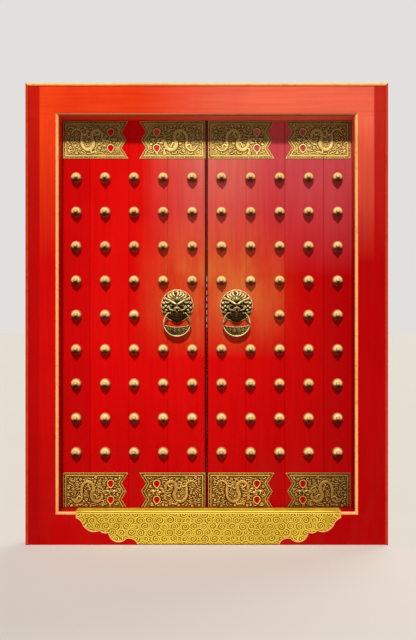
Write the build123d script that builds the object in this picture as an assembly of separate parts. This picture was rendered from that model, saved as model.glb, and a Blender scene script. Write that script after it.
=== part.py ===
from build123d import *
import math
import os

# All sizes are in millimetres. X runs to the right, Y into the building, Z up; the origin is the middle
# of the threshold's underside. The left leaf is modelled, and the right leaf is its mirror image.

# Opening and frame
opening_w = 2200
opening_h = 2940
sill_h = 250
head_h = 250
jamb_w = 250
frame_d = 170
tenon_w = 130
tenon_t = 50
tenon_l = 60
tenon_clear = 0.5

# Gilt beads
bead_r = 12
bead_sides = 8
bead_inset = 2

# Threshold cladding: its stepped ends run from (distance in from the end, height) to the next
cladding_inset = 113
cladding_shift = 12
cladding_t = 3
cladding_lap = 145
cladding_rim_w = 9
cladding_rim_t = 4
cladding_end_drop = 30
cladding_foot_gap = 2
cladding_steps = ((74, 120), (174, 106), (242, 92), (373, 46), (459, cladding_foot_gap))
cladding_bulges = ((35, 178), (119, 97), (208, 86), (309, 20), (413, 45))

# Leaves
leaf_t = 90
leaf_lap = 60
sill_lap = 25
head_lap = 25
face_gap = 3
meeting_gap = 4
stile_w = 272
plank_count = 3
tongue_t = 26
tongue_l = 20
tongue_clear = 0.5
plank_chamfer = 4

# Battens, dovetailed into the backs of the planks
batten_w = 84
batten_depth = 20
batten_flare = 6
batten_proud = 20
batten_outer_stop = 90
batten_inner_stop = 6
batten_clear = 0.2
batten_rows = (0, 2, 4, 6, 8)

# Pivots and what they turn in
pivot_r = 34
pivot_l = 62
tang_w = 40
tang_l = 44
tang_clear = 0.1
turning_clear = 0.5
seat_gap = 0.3
socket_w = 100
socket_floor = 10
socket_clear = 0.2
block_w = 220
block_top_gap = 25
block_l = 330
block_housing = 60
block_clear = 0.5
block_chamfer = 12
bush_w = 86
bush_h = 58
bush_clear = 0.1
beam_gap = 10
beam_t = 100
beam_d = 165
beam_waist_d = 130
beam_margin = 10
beam_boss_w = 300
beam_ogee = 60
spike_w = 12
spike_head_w = 32
spike_head_t = 9
spike_clear = 0.1
spike_bite = 70
spike_inner_x = 400
spike_past_axis = 135

# Door nails
nail_rows = 9
nail_columns = 5
nail_seam_margin = 111
nail_jamb_margin = 109
nail_sill_margin = 421
nail_head_margin = 435.8
nail_sides = 6
nail_profile = ((43.5, 0), (38, 46))
nail_peak_h = 78
knocker_row = 4
knocker_columns = (0, 1)

# Corner plates
plate_h = 282
plate_foot_trim = 24
plate_foot_gap = 3
plate_head_gap = 6
plate_jamb_gap = 10
plate_edge_gap = 10
plate_spacing = 86
outer_plate_l = 492
plate_t = 3
plate_rim_w = 13
plate_rim_t = 3
plate_notch = 50
plate_mid_tip = 14
notch_share = 0.28
hole_back = 82
hole_r = 22
hole_rim_w = 8
hole_sides = 6
dragon_margin = 26
dragon_steps = 8
dragon_waves = 1
dragon_swing = 66
dragon_tail_w = 14
dragon_neck_w = 52
dragon_t = 5
dragon_head_t = 10
dragon_head_back = 46
dragon_head = ((-44, -30), (-6, -42), (38, -18), (40, 12), (-4, 42), (-40, 34))

# Lion mask: profiles are (radius, height over the leaf), places and outlines are (X, Z) from its middle
knocker_x = 225
mask_rise = 70.4
mask_r = 125
mane_inset = 18
mane_bevel = 17
mane_h = 34
curl_count = 13
curl_start = -30
curl_step = 20
curl_sides = 4
curl_profile = ((19, 0), (10, 37))
forehead_z = 34
forehead_sides = 6
forehead_profile = ((77, 30), (64, 56), (36, 71))
feature_sides = 4
eye_place = (44, -6)
eye_profile = ((19, 28), (9, 71))
cheek_place = (64, -40)
cheek_profile = ((27, 24), (12, 65))
nostril_place = (22, -26)
nostril_profile = ((17, 58), (7, 96))
brow_outline = ((8, 4), (30, 16), (74, 42), (84, 28), (52, 4), (16, -10))
brow_h = 80
nose_outline = ((-20, -28), (20, -28), (14, 2), (0, 14), (-14, 2))
nose_h = 104
muzzle_outline = ((-60, -30), (60, -30), (62, -58), (48, -74), (-48, -74), (-62, -58))
muzzle_h = 98
jaw_outline = ((-54, -66), (54, -66), (48, -100), (0, -129), (-48, -100))
jaw_h = 86
relief_root = 14
relief_top = 0.8

# Ring, held by a straight spindle through the lion's mouth, with a crescent in its lower part
ring_r = 99.5
ring_bar_r = 7
ring_sides = 6
ring_steps = 16
hinge_drop = 56
hinge_stand = 48
spindle_r = 6
spindle_clear = 0.6
jaw_half_w = 50
elbow_gap = 15.4
mouth_clear = 10
mouth_sides = 6
crescent_t = 5
crescent_from = 9
crescent_steps = 7
crescent_top = ((72, -22), (44, -34), (22, -28), (0, -36), (-22, -28), (-44, -34), (-72, -22))

# Clenched spike that fastens the mask
fixing_rise = 17
fixing_w = 14
fixing_in_mask = 18
fixing_clear = 0.2
rove_w = 60
rove_t = 4
clench_l = 44

# Door bolt at the back
bolt_row = 3
bolt_h = 70
bolt_t = 55
bolt_clear = 0.3
bolt_end_x = 60
bolt_nose = 20
bolt_stile_gap = 8
bolt_travel = 240
bolt_hold = 10
keeper_w = 60
keeper_wall = 30
keeper_bridge = 18
handle_gap = 120
handle_w = 34
handle_l = 60

frame_w = opening_w + 2 * jamb_w
frame_h = sill_h + opening_h + head_h
front_y = -frame_d / 2
back_y = frame_d / 2
head_z = sill_h + opening_h
leaf_y = back_y + face_gap
leaf_back_y = leaf_y + leaf_t
leaf_outer_x = opening_w / 2 + leaf_lap
axis_x = leaf_outer_x - leaf_t / 2
axis_y = leaf_y + leaf_t / 2
leaf_z = sill_h - sill_lap
leaf_top_z = head_z + head_lap
stile_edge_x = leaf_outer_x - stile_w
plank_w = (stile_edge_x - meeting_gap / 2) / plank_count
cladding_half_w = opening_w / 2 - cladding_inset
bore_r = pivot_r + turning_clear
block_h = leaf_z - block_top_gap
beam_z = leaf_top_z + beam_gap
spike_places = (spike_inner_x, axis_x + spike_past_axis)
nail_pitch_x = (opening_w / 2 - nail_seam_margin - nail_jamb_margin) / (nail_columns - 1)
nail_pitch_z = (opening_h - nail_sill_margin - nail_head_margin) / (nail_rows - 1)
plate_outer_x = opening_w / 2 - plate_jamb_gap
plate_inner_x = meeting_gap / 2 + plate_edge_gap
inner_plate_l = plate_outer_x - outer_plate_l - plate_spacing - plate_inner_x
mask_z = sill_h + nail_sill_margin + knocker_row * nail_pitch_z + mask_rise
fixing_z = mask_z + fixing_rise
hinge_z = mask_z - hinge_drop
hinge_half_w = jaw_half_w + elbow_gap
ring_drop = math.sqrt(ring_r**2 - hinge_half_w**2)
ring_y = leaf_y - hinge_stand
ring_z = hinge_z - ring_drop
bolt_z = sill_h + nail_sill_margin + bolt_row * nail_pitch_z
bolt_far_x = stile_edge_x - bolt_stile_gap
keeper_near_x = bolt_end_x + bolt_nose + keeper_w / 2
keeper_far_x = bolt_far_x - bolt_travel - bolt_hold - keeper_w / 2
handle_x = keeper_far_x - handle_gap


def span(x0, x1, y0, y1, z0, z1):
    """Box between two corners."""
    size = Box(x1 - x0, y1 - y0, z1 - z0)
    return Pos((x0 + x1) / 2, (y0 + y1) / 2, (z0 + z1) / 2) * size


def front_face(points):
    """Flat polygon in X and Z, whose extrusion runs towards the front."""
    return Plane.XZ * make_face(Polyline(*points, close=True))


def slab(face, back, front):
    """Extrusion of a face drawn in X and Z, from depth back forward to depth front."""
    return Pos(0, back, 0) * extrude(face, back - front)


def upright(radius, length, x, y, z):
    """Vertical cylinder that stands on z."""
    return Pos(x, y, z) * Cylinder(radius, length, align=(Align.CENTER, Align.CENTER, Align.MIN))


def polyhedron(rings, peak=None):
    """Solid of flat faces through matching rings of points, closed by the last ring or up to a peak."""
    count = len(rings[0])
    faces = [Face(Wire.make_polygon(rings[0]))]
    if not peak:
        faces.append(Face(Wire.make_polygon(rings[-1])))
    for low, high in zip(rings, rings[1:]):
        for i in range(count):
            j = (i + 1) % count
            faces.append(Face(Wire.make_polygon([low[i], low[j], high[j], high[i]])))
    if peak:
        for i in range(count):
            faces.append(Face(Wire.make_polygon([rings[-1][i], rings[-1][(i + 1) % count], peak])))
    return Solid(Shell(faces))


def corners(radius, sides, turn=0):
    """Corners of a regular polygon, the first one turned from +X."""
    angles = [math.radians(turn + 360 * i / sides) for i in range(sides)]
    return [(radius * math.cos(angle), radius * math.sin(angle)) for angle in angles]


def facet_stack(profile, sides, turn=0, peak_h=0):
    """Faceted turning: regular polygons of the profile's radii at its heights, and a peak if given."""
    rings = []
    for radius, height in profile:
        rings.append([(x, y, height) for x, y in corners(radius, sides, turn)])
    return polyhedron(rings, (0, 0, peak_h) if peak_h else None)


def relief(points, back, front):
    """Carved block on a face: points outline its root, its top is drawn in about their middle."""
    middle_x = sum(x for x, z in points) / len(points)
    middle_z = sum(z for x, z in points) / len(points)
    top = []
    for x, z in points:
        top.append((middle_x + relief_top * (x - middle_x), middle_z + relief_top * (z - middle_z)))
    return polyhedron([[(x, -back, z) for x, z in points], [(x, -front, z) for x, z in top]])


def centred(width, length, x, y, z):
    """Square upright bar that stands on z."""
    return span(x - width / 2, x + width / 2, y - width / 2, y + width / 2, z, z + length)


# Frame
def jamb_tenon(side, z0, z1, clear):
    """Tenon between jamb and threshold or head, or with clearance its mortise."""
    middle = side * (opening_w + jamb_w) / 2
    half_w = tenon_w / 2 + clear
    half_t = tenon_t / 2 + clear
    return span(middle - half_w, middle + half_w, -half_t, half_t, z0, z1)


def block_body(side, clear):
    """Stone block behind the threshold, its front end housed in it."""
    half_w = block_w / 2 + clear
    front = back_y - block_housing - clear
    x = side * axis_x
    return span(x - half_w, x + half_w, front, back_y + block_l, 0, block_h + clear)


def make_threshold():
    body = span(-frame_w / 2, frame_w / 2, front_y, back_y, 0, sill_h)
    for side in (-1, 1):
        body -= jamb_tenon(side, sill_h - tenon_l - tenon_clear, sill_h, tenon_clear)
        body -= block_body(side, block_clear)
    return body


def make_jamb(side):
    middle = side * (opening_w + jamb_w) / 2
    post = span(middle - jamb_w / 2, middle + jamb_w / 2, front_y, back_y, sill_h, head_z)
    foot = jamb_tenon(side, sill_h - tenon_l, sill_h, 0)
    crown = jamb_tenon(side, head_z, head_z + tenon_l, 0)
    return post + foot + crown


def make_head():
    body = span(-frame_w / 2, frame_w / 2, front_y, back_y, head_z, frame_h)
    for side in (-1, 1):
        body -= jamb_tenon(side, head_z, head_z + tenon_l + tenon_clear, tenon_clear)
    for hole in spike_shanks(spike_clear):
        body -= hole
    return body


def bead(points, along, middle):
    """Half of a many-sided strip on the frame's front: points outline it with its mitres."""
    section = RegularPolygon(bead_r, bead_sides, major_radius=False, rotation=180 / bead_sides)
    rod = extrude(section, max(frame_w, frame_h), both=True)
    if along == Axis.X:
        rod = Pos(0, front_y, middle) * Rot(0, 90, 0) * rod
    else:
        rod = Pos(middle, front_y, 0) * rod
    return rod & slab(front_face(points), front_y, front_y - bead_r)


def make_beads():
    """Beads round the opening, in short lengths beside the cladding, and round the frame's border."""
    inner = opening_w / 2 + bead_inset
    outer = inner + 2 * bead_r
    low = sill_h - bead_inset
    top = head_z + bead_inset
    edge = frame_w / 2
    rim = edge - 2 * bead_r
    crest = frame_h - 2 * bead_r
    upright_points = [(inner, low), (outer, low - 2 * bead_r), (outer, top + 2 * bead_r), (inner, top)]
    border_points = [(rim, 0), (edge, 0), (edge, frame_h), (rim, crest)]
    right = bead(upright_points, Axis.Z, inner + bead_r)
    border = bead(border_points, Axis.Z, edge - bead_r)
    top_points = [(-inner, top), (inner, top), (outer, top + 2 * bead_r), (-outer, top + 2 * bead_r)]
    crest_points = [(-rim, crest), (rim, crest), (edge, frame_h), (-edge, frame_h)]
    stubs = []
    for side in (-1, 1):
        end = side * (cladding_half_w + seat_gap) + cladding_shift
        stub = [(end, low), (side * inner, low), (side * outer, low - 2 * bead_r), (end, low - 2 * bead_r)]
        stubs.append(bead(stub, Axis.X, low - bead_r).solid())
    return {
        "left_opening_bead": right.mirror(Plane.YZ),
        "right_opening_bead": right,
        "top_opening_bead": bead(top_points, Axis.X, top + bead_r),
        "sill_beads": Compound(stubs),
        "left_border_bead": border.mirror(Plane.YZ),
        "right_border_bead": border,
        "top_border_bead": bead(crest_points, Axis.X, frame_h - bead_r),
    }


def cladding_outline(inset):
    """Front of the cladding: ends stepped down to the ground in scallops, drawn in by inset."""
    first = (0, sill_h - cladding_end_drop)
    steps = [(cladding_half_w - x - inset, z + inset) for x, z in (first, *cladding_steps)]
    bulges = [(cladding_half_w - x - inset, z + inset) for x, z in cladding_bulges]
    right = [Line((steps[0][0], sill_h), steps[0])]
    for start, bulge, end in zip(steps, bulges, steps[1:]):
        right.append(ThreePointArc(start, bulge, end))
    left = [edge.mirror(Plane.YZ) for edge in right]
    top = Line((-steps[0][0], sill_h), (steps[0][0], sill_h))
    bottom = Line((-steps[-1][0], steps[-1][1]), steps[-1])
    return make_face([top, *right, bottom, *left])


def make_cladding():
    outline = cladding_outline(0)
    rim = outline - cladding_outline(cladding_rim_w)
    skin = slab(Plane.XZ * outline, front_y, front_y - cladding_t)
    lip = slab(Plane.XZ * rim, front_y - cladding_t, front_y - cladding_t - cladding_rim_t)
    top = span(
        -cladding_half_w, cladding_half_w,
        front_y - cladding_t, front_y + cladding_lap, sill_h, sill_h + cladding_t,
    )
    return Pos(cladding_shift, 0, 0) * (skin + lip + top)


# Pivots
def socket_z():
    """Underside of the iron floor socket: the leaf's pivot turns just above its floor."""
    return leaf_z - pivot_l - seat_gap - socket_floor


def make_pivot_block(side):
    body = block_body(side, 0)
    rear = body.faces().sort_by(Axis.Y)[-1]
    body = chamfer(rear.edges(), block_chamfer)
    return body - centred(socket_w + 2 * socket_clear, block_h, side * axis_x, axis_y, socket_z())


def make_floor_sockets():
    sockets = []
    for side in (-1, 1):
        x = side * axis_x
        height = block_h - socket_z()
        cup = centred(socket_w, height, x, axis_y, socket_z())
        cup -= upright(bore_r, height, x, axis_y, socket_z() + socket_floor)
        sockets.append(cup.solid())
    return Compound(sockets)


def stile_tang(z, clear):
    """Square tang of the stile inside its iron pivot, or with clearance the pivot's pocket."""
    return centred(tang_w + 2 * clear, tang_l + clear, -axis_x, axis_y, z)


def make_pivots():
    """Round iron pivots on the stile's lower and upper tangs."""
    lower_z = leaf_z - pivot_l
    lower = upright(pivot_r, pivot_l, -axis_x, axis_y, lower_z)
    lower -= stile_tang(leaf_z - tang_l - tang_clear, tang_clear)
    upper = upright(pivot_r, pivot_l, -axis_x, axis_y, leaf_top_z)
    upper -= stile_tang(leaf_top_z, tang_clear)
    return Compound([lower.solid(), upper.solid()])


def make_beam_bushes():
    bushes = []
    for side in (-1, 1):
        x = side * axis_x
        ring = centred(bush_w, bush_h, x, axis_y, beam_z)
        ring -= upright(bore_r, bush_h, x, axis_y, beam_z)
        bushes.append(ring.solid())
    return Compound(bushes)


def beam_rear_at(x):
    """Rear of the pivot beam at a distance from the middle: full at the bosses, drawn in at the waist."""
    return back_y + (beam_d if x > axis_x - beam_boss_w / 2 else beam_waist_d)


def spike_shanks(clear):
    """Square shanks of the spikes through the pivot beam into the head, or with clearance their holes."""
    half = spike_w / 2 + clear
    z = beam_z + beam_t / 2
    shanks = []
    for place in spike_places:
        for side in (-1, 1):
            x = side * place
            tip = back_y - spike_bite - clear
            shanks.append(span(x - half, x + half, tip, beam_rear_at(place), z - half, z + half))
    return shanks


def make_beam_spikes():
    """Forged spikes with square pyramid heads."""
    profile = ((spike_head_w / math.sqrt(2), 0), (spike_w / math.sqrt(2), spike_head_t))
    spikes = []
    for shank in spike_shanks(0):
        rear = shank.faces().sort_by(Axis.Y)[-1].center()
        head = Pos(rear.X, rear.Y, rear.Z) * Rot(-90, 0, 0) * facet_stack(profile, 4, 45)
        spikes.append((shank + head).solid())
    return Compound(spikes)


def make_pivot_beam():
    """Beam behind the head, deep round the pivots and waisted between them with an ogee at each side."""
    end = frame_w / 2 - beam_margin
    boss = axis_x - beam_boss_w / 2
    waist = back_y + beam_waist_d
    full = back_y + beam_d
    mid_x = boss - beam_ogee / 2
    mid_y = (waist + full) / 2
    lines = [
        Line((0, back_y), (end, back_y)),
        Line((end, back_y), (end, full)),
        Line((end, full), (boss, full)),
        RadiusArc((boss, full), (mid_x, mid_y), beam_ogee),
        RadiusArc((mid_x, mid_y), (boss - beam_ogee, waist), -beam_ogee),
        Line((boss - beam_ogee, waist), (0, waist)),
        Line((0, waist), (0, back_y)),
    ]
    half = Pos(0, 0, beam_z) * extrude(make_face(lines), beam_t)
    body = half + half.mirror(Plane.YZ)
    for side in (-1, 1):
        body -= centred(bush_w + 2 * bush_clear, bush_h + bush_clear, side * axis_x, axis_y, beam_z)
    for hole in spike_shanks(spike_clear):
        body -= hole
    return body


# Leaf boards
def board_profile(x0, x1, tongue, groove):
    """Plan of a board from its hinge side x0 to x1, with a tongue at x0 and a groove at x1."""
    points = [(x0 + plank_chamfer, leaf_y), (x1 - plank_chamfer, leaf_y), (x1, leaf_y + plank_chamfer)]
    if groove:
        half_t = tongue_t / 2 + tongue_clear
        depth = tongue_l + tongue_clear
        points += [(x1, axis_y - half_t), (x1 - depth, axis_y - half_t)]
        points += [(x1 - depth, axis_y + half_t), (x1, axis_y + half_t)]
    points += [(x1, leaf_back_y), (x0, leaf_back_y)]
    if tongue:
        half_t = tongue_t / 2
        points += [(x0, axis_y + half_t), (x0 - tongue_l, axis_y + half_t)]
        points += [(x0 - tongue_l, axis_y - half_t), (x0, axis_y - half_t)]
    points.append((x0, leaf_y + plank_chamfer))
    return make_face(Polyline(*points, close=True))


def row_z(row):
    """Height of a row of nails, and of the batten that they are clenched through."""
    return sill_h + nail_sill_margin + row * nail_pitch_z


def batten_profile(clear):
    """Section of a batten in Y and Z: a dovetail in the boards and a plain bar proud of them."""
    root = leaf_back_y - batten_depth - clear
    half = batten_w / 2 + clear
    flare = half + batten_flare
    crest = leaf_back_y + batten_proud
    points = [(root, -flare), (leaf_back_y, -half), (crest, -half)]
    points += [(crest, half), (leaf_back_y, half), (root, flare)]
    return Plane.YZ * make_face(Polyline(*points, close=True))


def batten(row, clear, end_gap):
    """Batten that ends at a gap from the seam's middle, or with clearance the groove for it."""
    start = -leaf_outer_x + batten_outer_stop - clear
    return Pos(start, 0, row_z(row)) * extrude(batten_profile(clear), -end_gap - start)


def make_stile():
    """Hinge stile: rounded about the pivots' axis, with a square tang above and below."""
    outer = -axis_x
    inner = -stile_edge_x
    half_t = tongue_t / 2 + tongue_clear
    depth = tongue_l + tongue_clear
    points = [
        (outer, leaf_y), (inner - plank_chamfer, leaf_y), (inner, leaf_y + plank_chamfer),
        (inner, axis_y - half_t), (inner - depth, axis_y - half_t),
        (inner - depth, axis_y + half_t), (inner, axis_y + half_t),
        (inner, leaf_back_y), (outer, leaf_back_y),
    ]
    turn = ThreePointArc((outer, leaf_back_y), (outer - leaf_t / 2, axis_y), (outer, leaf_y))
    profile = make_face([*Polyline(*points).edges(), turn])
    body = Pos(0, 0, leaf_z) * extrude(profile, leaf_top_z - leaf_z)
    for row in batten_rows:
        body -= batten(row, batten_clear, 0)
    return body + stile_tang(leaf_z - tang_l, 0) + stile_tang(leaf_top_z, 0)


def make_plank(index):
    """Plank counted from the hinge side; the last one has a plain meeting edge."""
    x0 = -stile_edge_x + index * plank_w
    last = index == plank_count - 1
    profile = board_profile(x0, x0 + plank_w, True, not last)
    body = Pos(0, 0, leaf_z) * extrude(profile, leaf_top_z - leaf_z)
    for row in batten_rows:
        body -= batten(row, batten_clear, 0)
    if last:
        body -= fixing_shank(fixing_clear)
    return body


# Nails and plates
def make_nails():
    nail = Rot(90, 0, 0) * facet_stack(nail_profile, nail_sides, 0, nail_peak_h)
    nails = []
    for row in range(nail_rows):
        for column in range(nail_columns):
            if row == knocker_row and column in knocker_columns:
                continue
            x = -(nail_seam_margin + column * nail_pitch_x)
            nails.append((Pos(x, leaf_y, row_z(row)) * nail).solid())
    return Compound(nails)


def hole_outline(radius, x, z):
    return Pos(x, z) * RegularPolygon(radius, hole_sides, rotation=180 / hole_sides)


def plate_face(length):
    """Plate from its straight end at 0 to its zigzag end at length, standing on its lower edge."""
    notch = length - plate_notch
    low = plate_h * notch_share
    points = [(0, 0), (length, 0), (notch, low), (length - plate_mid_tip, plate_h / 2)]
    points += [(notch, plate_h - low), (length, plate_h), (0, plate_h)]
    return make_face(Polyline(*points, close=True))


def dragon(length):
    """Coiling body that thins from the neck near the holes to the tail, and its head over the neck."""
    reach = length - plate_notch - hole_back - dragon_head_back - 2 * dragon_margin
    under = []
    over = []
    for step in range(dragon_steps + 1):
        share = step / dragon_steps
        x = dragon_margin + share * reach
        z = plate_h / 2 + dragon_swing * math.sin(2 * math.pi * dragon_waves * share)
        half = dragon_tail_w / 2 + share * (dragon_neck_w - dragon_tail_w) / 2
        under.append((x, z - half))
        over.append((x, z + half))
    neck_x = dragon_margin + reach
    head = [(neck_x + x, plate_h / 2 + z) for x, z in dragon_head]
    body = slab(front_face([*under, *reversed(over)]), -plate_t, -plate_t - dragon_t)
    return body + relief(head, plate_t, plate_t + dragon_head_t)


def make_plate(length):
    """Gilt plate with a raised border, a dragon and two rimmed holes at its notches."""
    outline = plate_face(length)
    field = offset(outline, -plate_rim_w, kind=Kind.INTERSECTION)
    border = outline - field
    low = plate_h * notch_share
    hole_x = length - plate_notch - hole_back
    for z in (low, plate_h - low):
        outline -= hole_outline(hole_r, hole_x, z)
        border += hole_outline(hole_r + hole_rim_w, hole_x, z)
        border -= hole_outline(hole_r, hole_x, z)
    skin = slab(Plane.XZ * outline, 0, -plate_t)
    raised = slab(Plane.XZ * border, -plate_t, -plate_t - plate_rim_t)
    return skin + raised + dragon(length)


def make_plates():
    """Four plates of the left leaf, the lower ones cut off at the sill; zigzag ends face each other."""
    outer = make_plate(outer_plate_l)
    inner = make_plate(inner_plate_l).mirror(Plane.YZ)
    upper_z = head_z - plate_head_gap - plate_h
    lower_z = sill_h + cladding_t + plate_foot_gap - plate_foot_trim
    foot = span(-opening_w, opening_w, 0, leaf_y, 0, lower_z + plate_foot_trim)
    plates = {}
    for reach, x, plate in (("outer", plate_outer_x, outer), ("inner", plate_inner_x, inner)):
        plates[f"upper_{reach}_plate"] = Pos(-x, leaf_y, upper_z) * plate
        plates[f"lower_{reach}_plate"] = Pos(-x, leaf_y, lower_z) * plate - foot
    return plates


# Knocker
def fixing_shank(clear):
    """Square shank of the mask's spike, or with clearance its hole."""
    half = fixing_w / 2 + clear
    x = -knocker_x
    return span(
        x - half, x + half, leaf_y - fixing_in_mask - clear, leaf_back_y + rove_t + fixing_w,
        fixing_z - half, fixing_z + half,
    )


def make_fixing():
    """Spike clenched upwards over a square rove at the leaf's back."""
    x = -knocker_x
    half = fixing_w / 2
    tail = span(
        x - half, x + half, leaf_back_y + rove_t, leaf_back_y + rove_t + fixing_w,
        fixing_z - half, fixing_z + clench_l,
    )
    rove = span(
        x - rove_w / 2, x + rove_w / 2, leaf_back_y, leaf_back_y + rove_t,
        fixing_z - rove_w / 2, fixing_z + rove_w / 2,
    )
    rove -= fixing_shank(fixing_clear)
    return Compound([(fixing_shank(0) + tail).solid(), rove.solid()])


def boss(profile, sides, place, turn=0):
    """Faceted boss on the mask, at a place from the mask's middle."""
    return Pos(place[0], 0, place[1]) * Rot(90, 0, 0) * facet_stack(profile, sides, turn)


def make_mask():
    """Lion's head casting: curls round the mane, forehead, brows, eyes, cheeks, nose, muzzle and jaw."""
    mane_r = mask_r - mane_inset
    body = boss(((mane_r, 0), (mane_r - mane_bevel, mane_h)), curl_count, (0, 0), curl_start)
    reach = mask_r - curl_profile[0][0]
    for index in range(curl_count):
        turn = curl_start + index * curl_step
        place = (reach * math.cos(math.radians(turn)), reach * math.sin(math.radians(turn)))
        body += boss(curl_profile, curl_sides, place, turn)
    body += boss(forehead_profile, forehead_sides, (0, forehead_z), 180 / forehead_sides)
    for side in (-1, 1):
        body += relief([(side * x, z) for x, z in brow_outline], relief_root, brow_h)
        for profile, (x, z) in (
            (eye_profile, eye_place), (cheek_profile, cheek_place), (nostril_profile, nostril_place),
        ):
            body += boss(profile, feature_sides, (side * x, z))
    body += relief(nose_outline, relief_root, nose_h)
    body += relief(muzzle_outline, relief_root, muzzle_h)
    body += relief(jaw_outline, relief_root, jaw_h)
    body = Pos(-knocker_x, leaf_y, mask_z) * body
    hinge = Pos(-knocker_x, ring_y, hinge_z)
    body -= hinge * Rot(0, 90, 0) * Cylinder(spindle_r + spindle_clear, 2 * mask_r)
    pocket_section = corners(ring_bar_r + mouth_clear, mouth_sides)
    for side in (-1, 1):
        ends = (side * jaw_half_w, side * mask_r)
        body -= hinge * polyhedron([[(x, u, v) for u, v in pocket_section] for x in ends])
    return body - fixing_shank(fixing_clear)


def make_ring():
    """Ring bent up to a straight spindle across the lion's mouth, with a crescent in its lower part."""
    reach = math.atan2(hinge_half_w, ring_drop) - ring_bar_r / ring_r
    section = corners(ring_bar_r, ring_sides, 180 / ring_sides)
    rings = []
    for step in range(ring_steps + 1):
        angle = reach + step * (2 * math.pi - 2 * reach) / ring_steps
        across = math.sin(angle)
        up = math.cos(angle)
        rings.append([((ring_r + u) * across, v, (ring_r + u) * up) for u, v in section])
    hoop = polyhedron(rings)
    spindle = Pos(0, 0, ring_drop) * Rot(0, 90, 0) * Cylinder(spindle_r, 2 * hinge_half_w)
    lower = []
    for step in range(crescent_steps + 1):
        angle = math.radians(crescent_from + step * (180 - 2 * crescent_from) / crescent_steps)
        lower.append((-ring_r * math.cos(angle), -ring_r * math.sin(angle)))
    crescent = slab(front_face([*lower, *crescent_top]), crescent_t / 2, -crescent_t / 2)
    return Pos(-knocker_x, ring_y, ring_z) * (hoop + spindle + crescent)


# Bolt
def bolt_section(clear):
    """Lowest and highest Y and Z of the bolt, or with clearance of its way."""
    y0 = leaf_back_y + bolt_clear - clear
    return y0, y0 + bolt_t + 2 * clear, bolt_z - bolt_h / 2 - clear, bolt_z + bolt_h / 2 + clear


def make_keeper(x):
    """Bracket bridging the bolt, its feet on the leaf's back."""
    y0, y1, z0, z1 = bolt_section(bolt_clear)
    left = x - keeper_w / 2
    right = x + keeper_w / 2
    outer = span(left, right, y0, y1 + keeper_bridge, z0 - keeper_wall, z1 + keeper_wall)
    return outer - span(left, right, y0, y1, z0, z1)


def make_bolt():
    y0, y1, z0, z1 = bolt_section(0)
    bar = span(-bolt_far_x, -bolt_end_x, y0, y1, z0, z1)
    half = handle_w / 2
    grip = span(-handle_x - half, -handle_x + half, y1, y1 + handle_l, bolt_z - half, bolt_z + half)
    return bar + grip


def main():
    pieces = {
        "threshold": make_threshold(),
        "left_jamb": make_jamb(-1),
        "right_jamb": make_jamb(1),
        "head": make_head(),
        "threshold_cladding": make_cladding(),
        "pivot_beam": make_pivot_beam(),
        "pivot_beam_spikes": make_beam_spikes(),
        "left_pivot_block": make_pivot_block(-1),
        "right_pivot_block": make_pivot_block(1),
        "floor_sockets": make_floor_sockets(),
        "beam_bushes": make_beam_bushes(),
    }
    pieces.update(make_beads())
    leaf = {
        "hinge_stile": make_stile(),
        "door_nails": make_nails(),
        "pivots": make_pivots(),
        "lion_mask": make_mask(),
        "knocker_fixing": make_fixing(),
        "knocker_ring": make_ring(),
    }
    leaf.update(make_plates())
    for index in range(plank_count):
        leaf[f"plank_{index + 1}"] = make_plank(index)
    for number, row in enumerate(batten_rows, 1):
        leaf[f"batten_{number}"] = batten(row, 0, meeting_gap / 2 + batten_inner_stop)
    for name, piece in leaf.items():
        pieces[f"left_{name}"] = piece
        pieces[f"right_{name}"] = piece.mirror(Plane.YZ)
    keepers = [make_keeper(-keeper_far_x).solid(), make_keeper(-keeper_near_x).solid()]
    pieces["left_bolt_keepers"] = Compound(keepers)
    pieces["right_bolt_keeper"] = make_keeper(keeper_near_x)
    pieces["door_bolt"] = make_bolt()
    os.makedirs("parts", exist_ok=True)
    for name, piece in pieces.items():
        export_step(piece, f"parts/{name}.step")


main()
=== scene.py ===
import cmath
import math
import random

import bmesh
import bpy
import numpy as np
from mathutils import Matrix, Vector


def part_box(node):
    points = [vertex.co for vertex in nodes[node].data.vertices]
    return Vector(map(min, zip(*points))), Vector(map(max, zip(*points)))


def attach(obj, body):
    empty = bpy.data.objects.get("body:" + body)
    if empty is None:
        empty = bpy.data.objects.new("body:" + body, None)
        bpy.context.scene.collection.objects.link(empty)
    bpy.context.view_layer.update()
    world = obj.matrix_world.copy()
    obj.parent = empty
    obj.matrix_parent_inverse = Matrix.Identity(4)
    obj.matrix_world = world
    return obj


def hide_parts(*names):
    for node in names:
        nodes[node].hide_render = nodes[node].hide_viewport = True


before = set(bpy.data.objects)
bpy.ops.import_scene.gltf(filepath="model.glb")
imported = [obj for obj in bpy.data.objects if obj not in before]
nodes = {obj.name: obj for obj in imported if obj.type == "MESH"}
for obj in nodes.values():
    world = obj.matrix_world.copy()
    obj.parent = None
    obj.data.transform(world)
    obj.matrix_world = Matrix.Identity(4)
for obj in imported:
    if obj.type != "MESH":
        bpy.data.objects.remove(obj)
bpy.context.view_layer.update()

# Drawings of the reliefs are in millimetres, and everything placed in the scene is in metres.
MM = 0.001
SIDES = (("left", -1), ("right", 1))

# Camera, and lamps with their energy, spread, elevation and turn; angles are in degrees
CAMERA_PLACE = (0.009, -8.395, 1.637)
CAMERA_LENS = 62.8
CAMERA_SHIFT_Y = 5 / 640
LAMPS = (("key", 3.7, 5, 45, -3), ("fill", 1.1, 40, 35, 155))
LAMP_TINT = (1, 0.97, 0.93)
AMBIENT = 0.09
AMBIENT_TINT = (1, 0.98, 0.96, 1)
PALE = (0.76, 0.745, 0.72, 1)
FLOOR_REACH = 200


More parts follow.
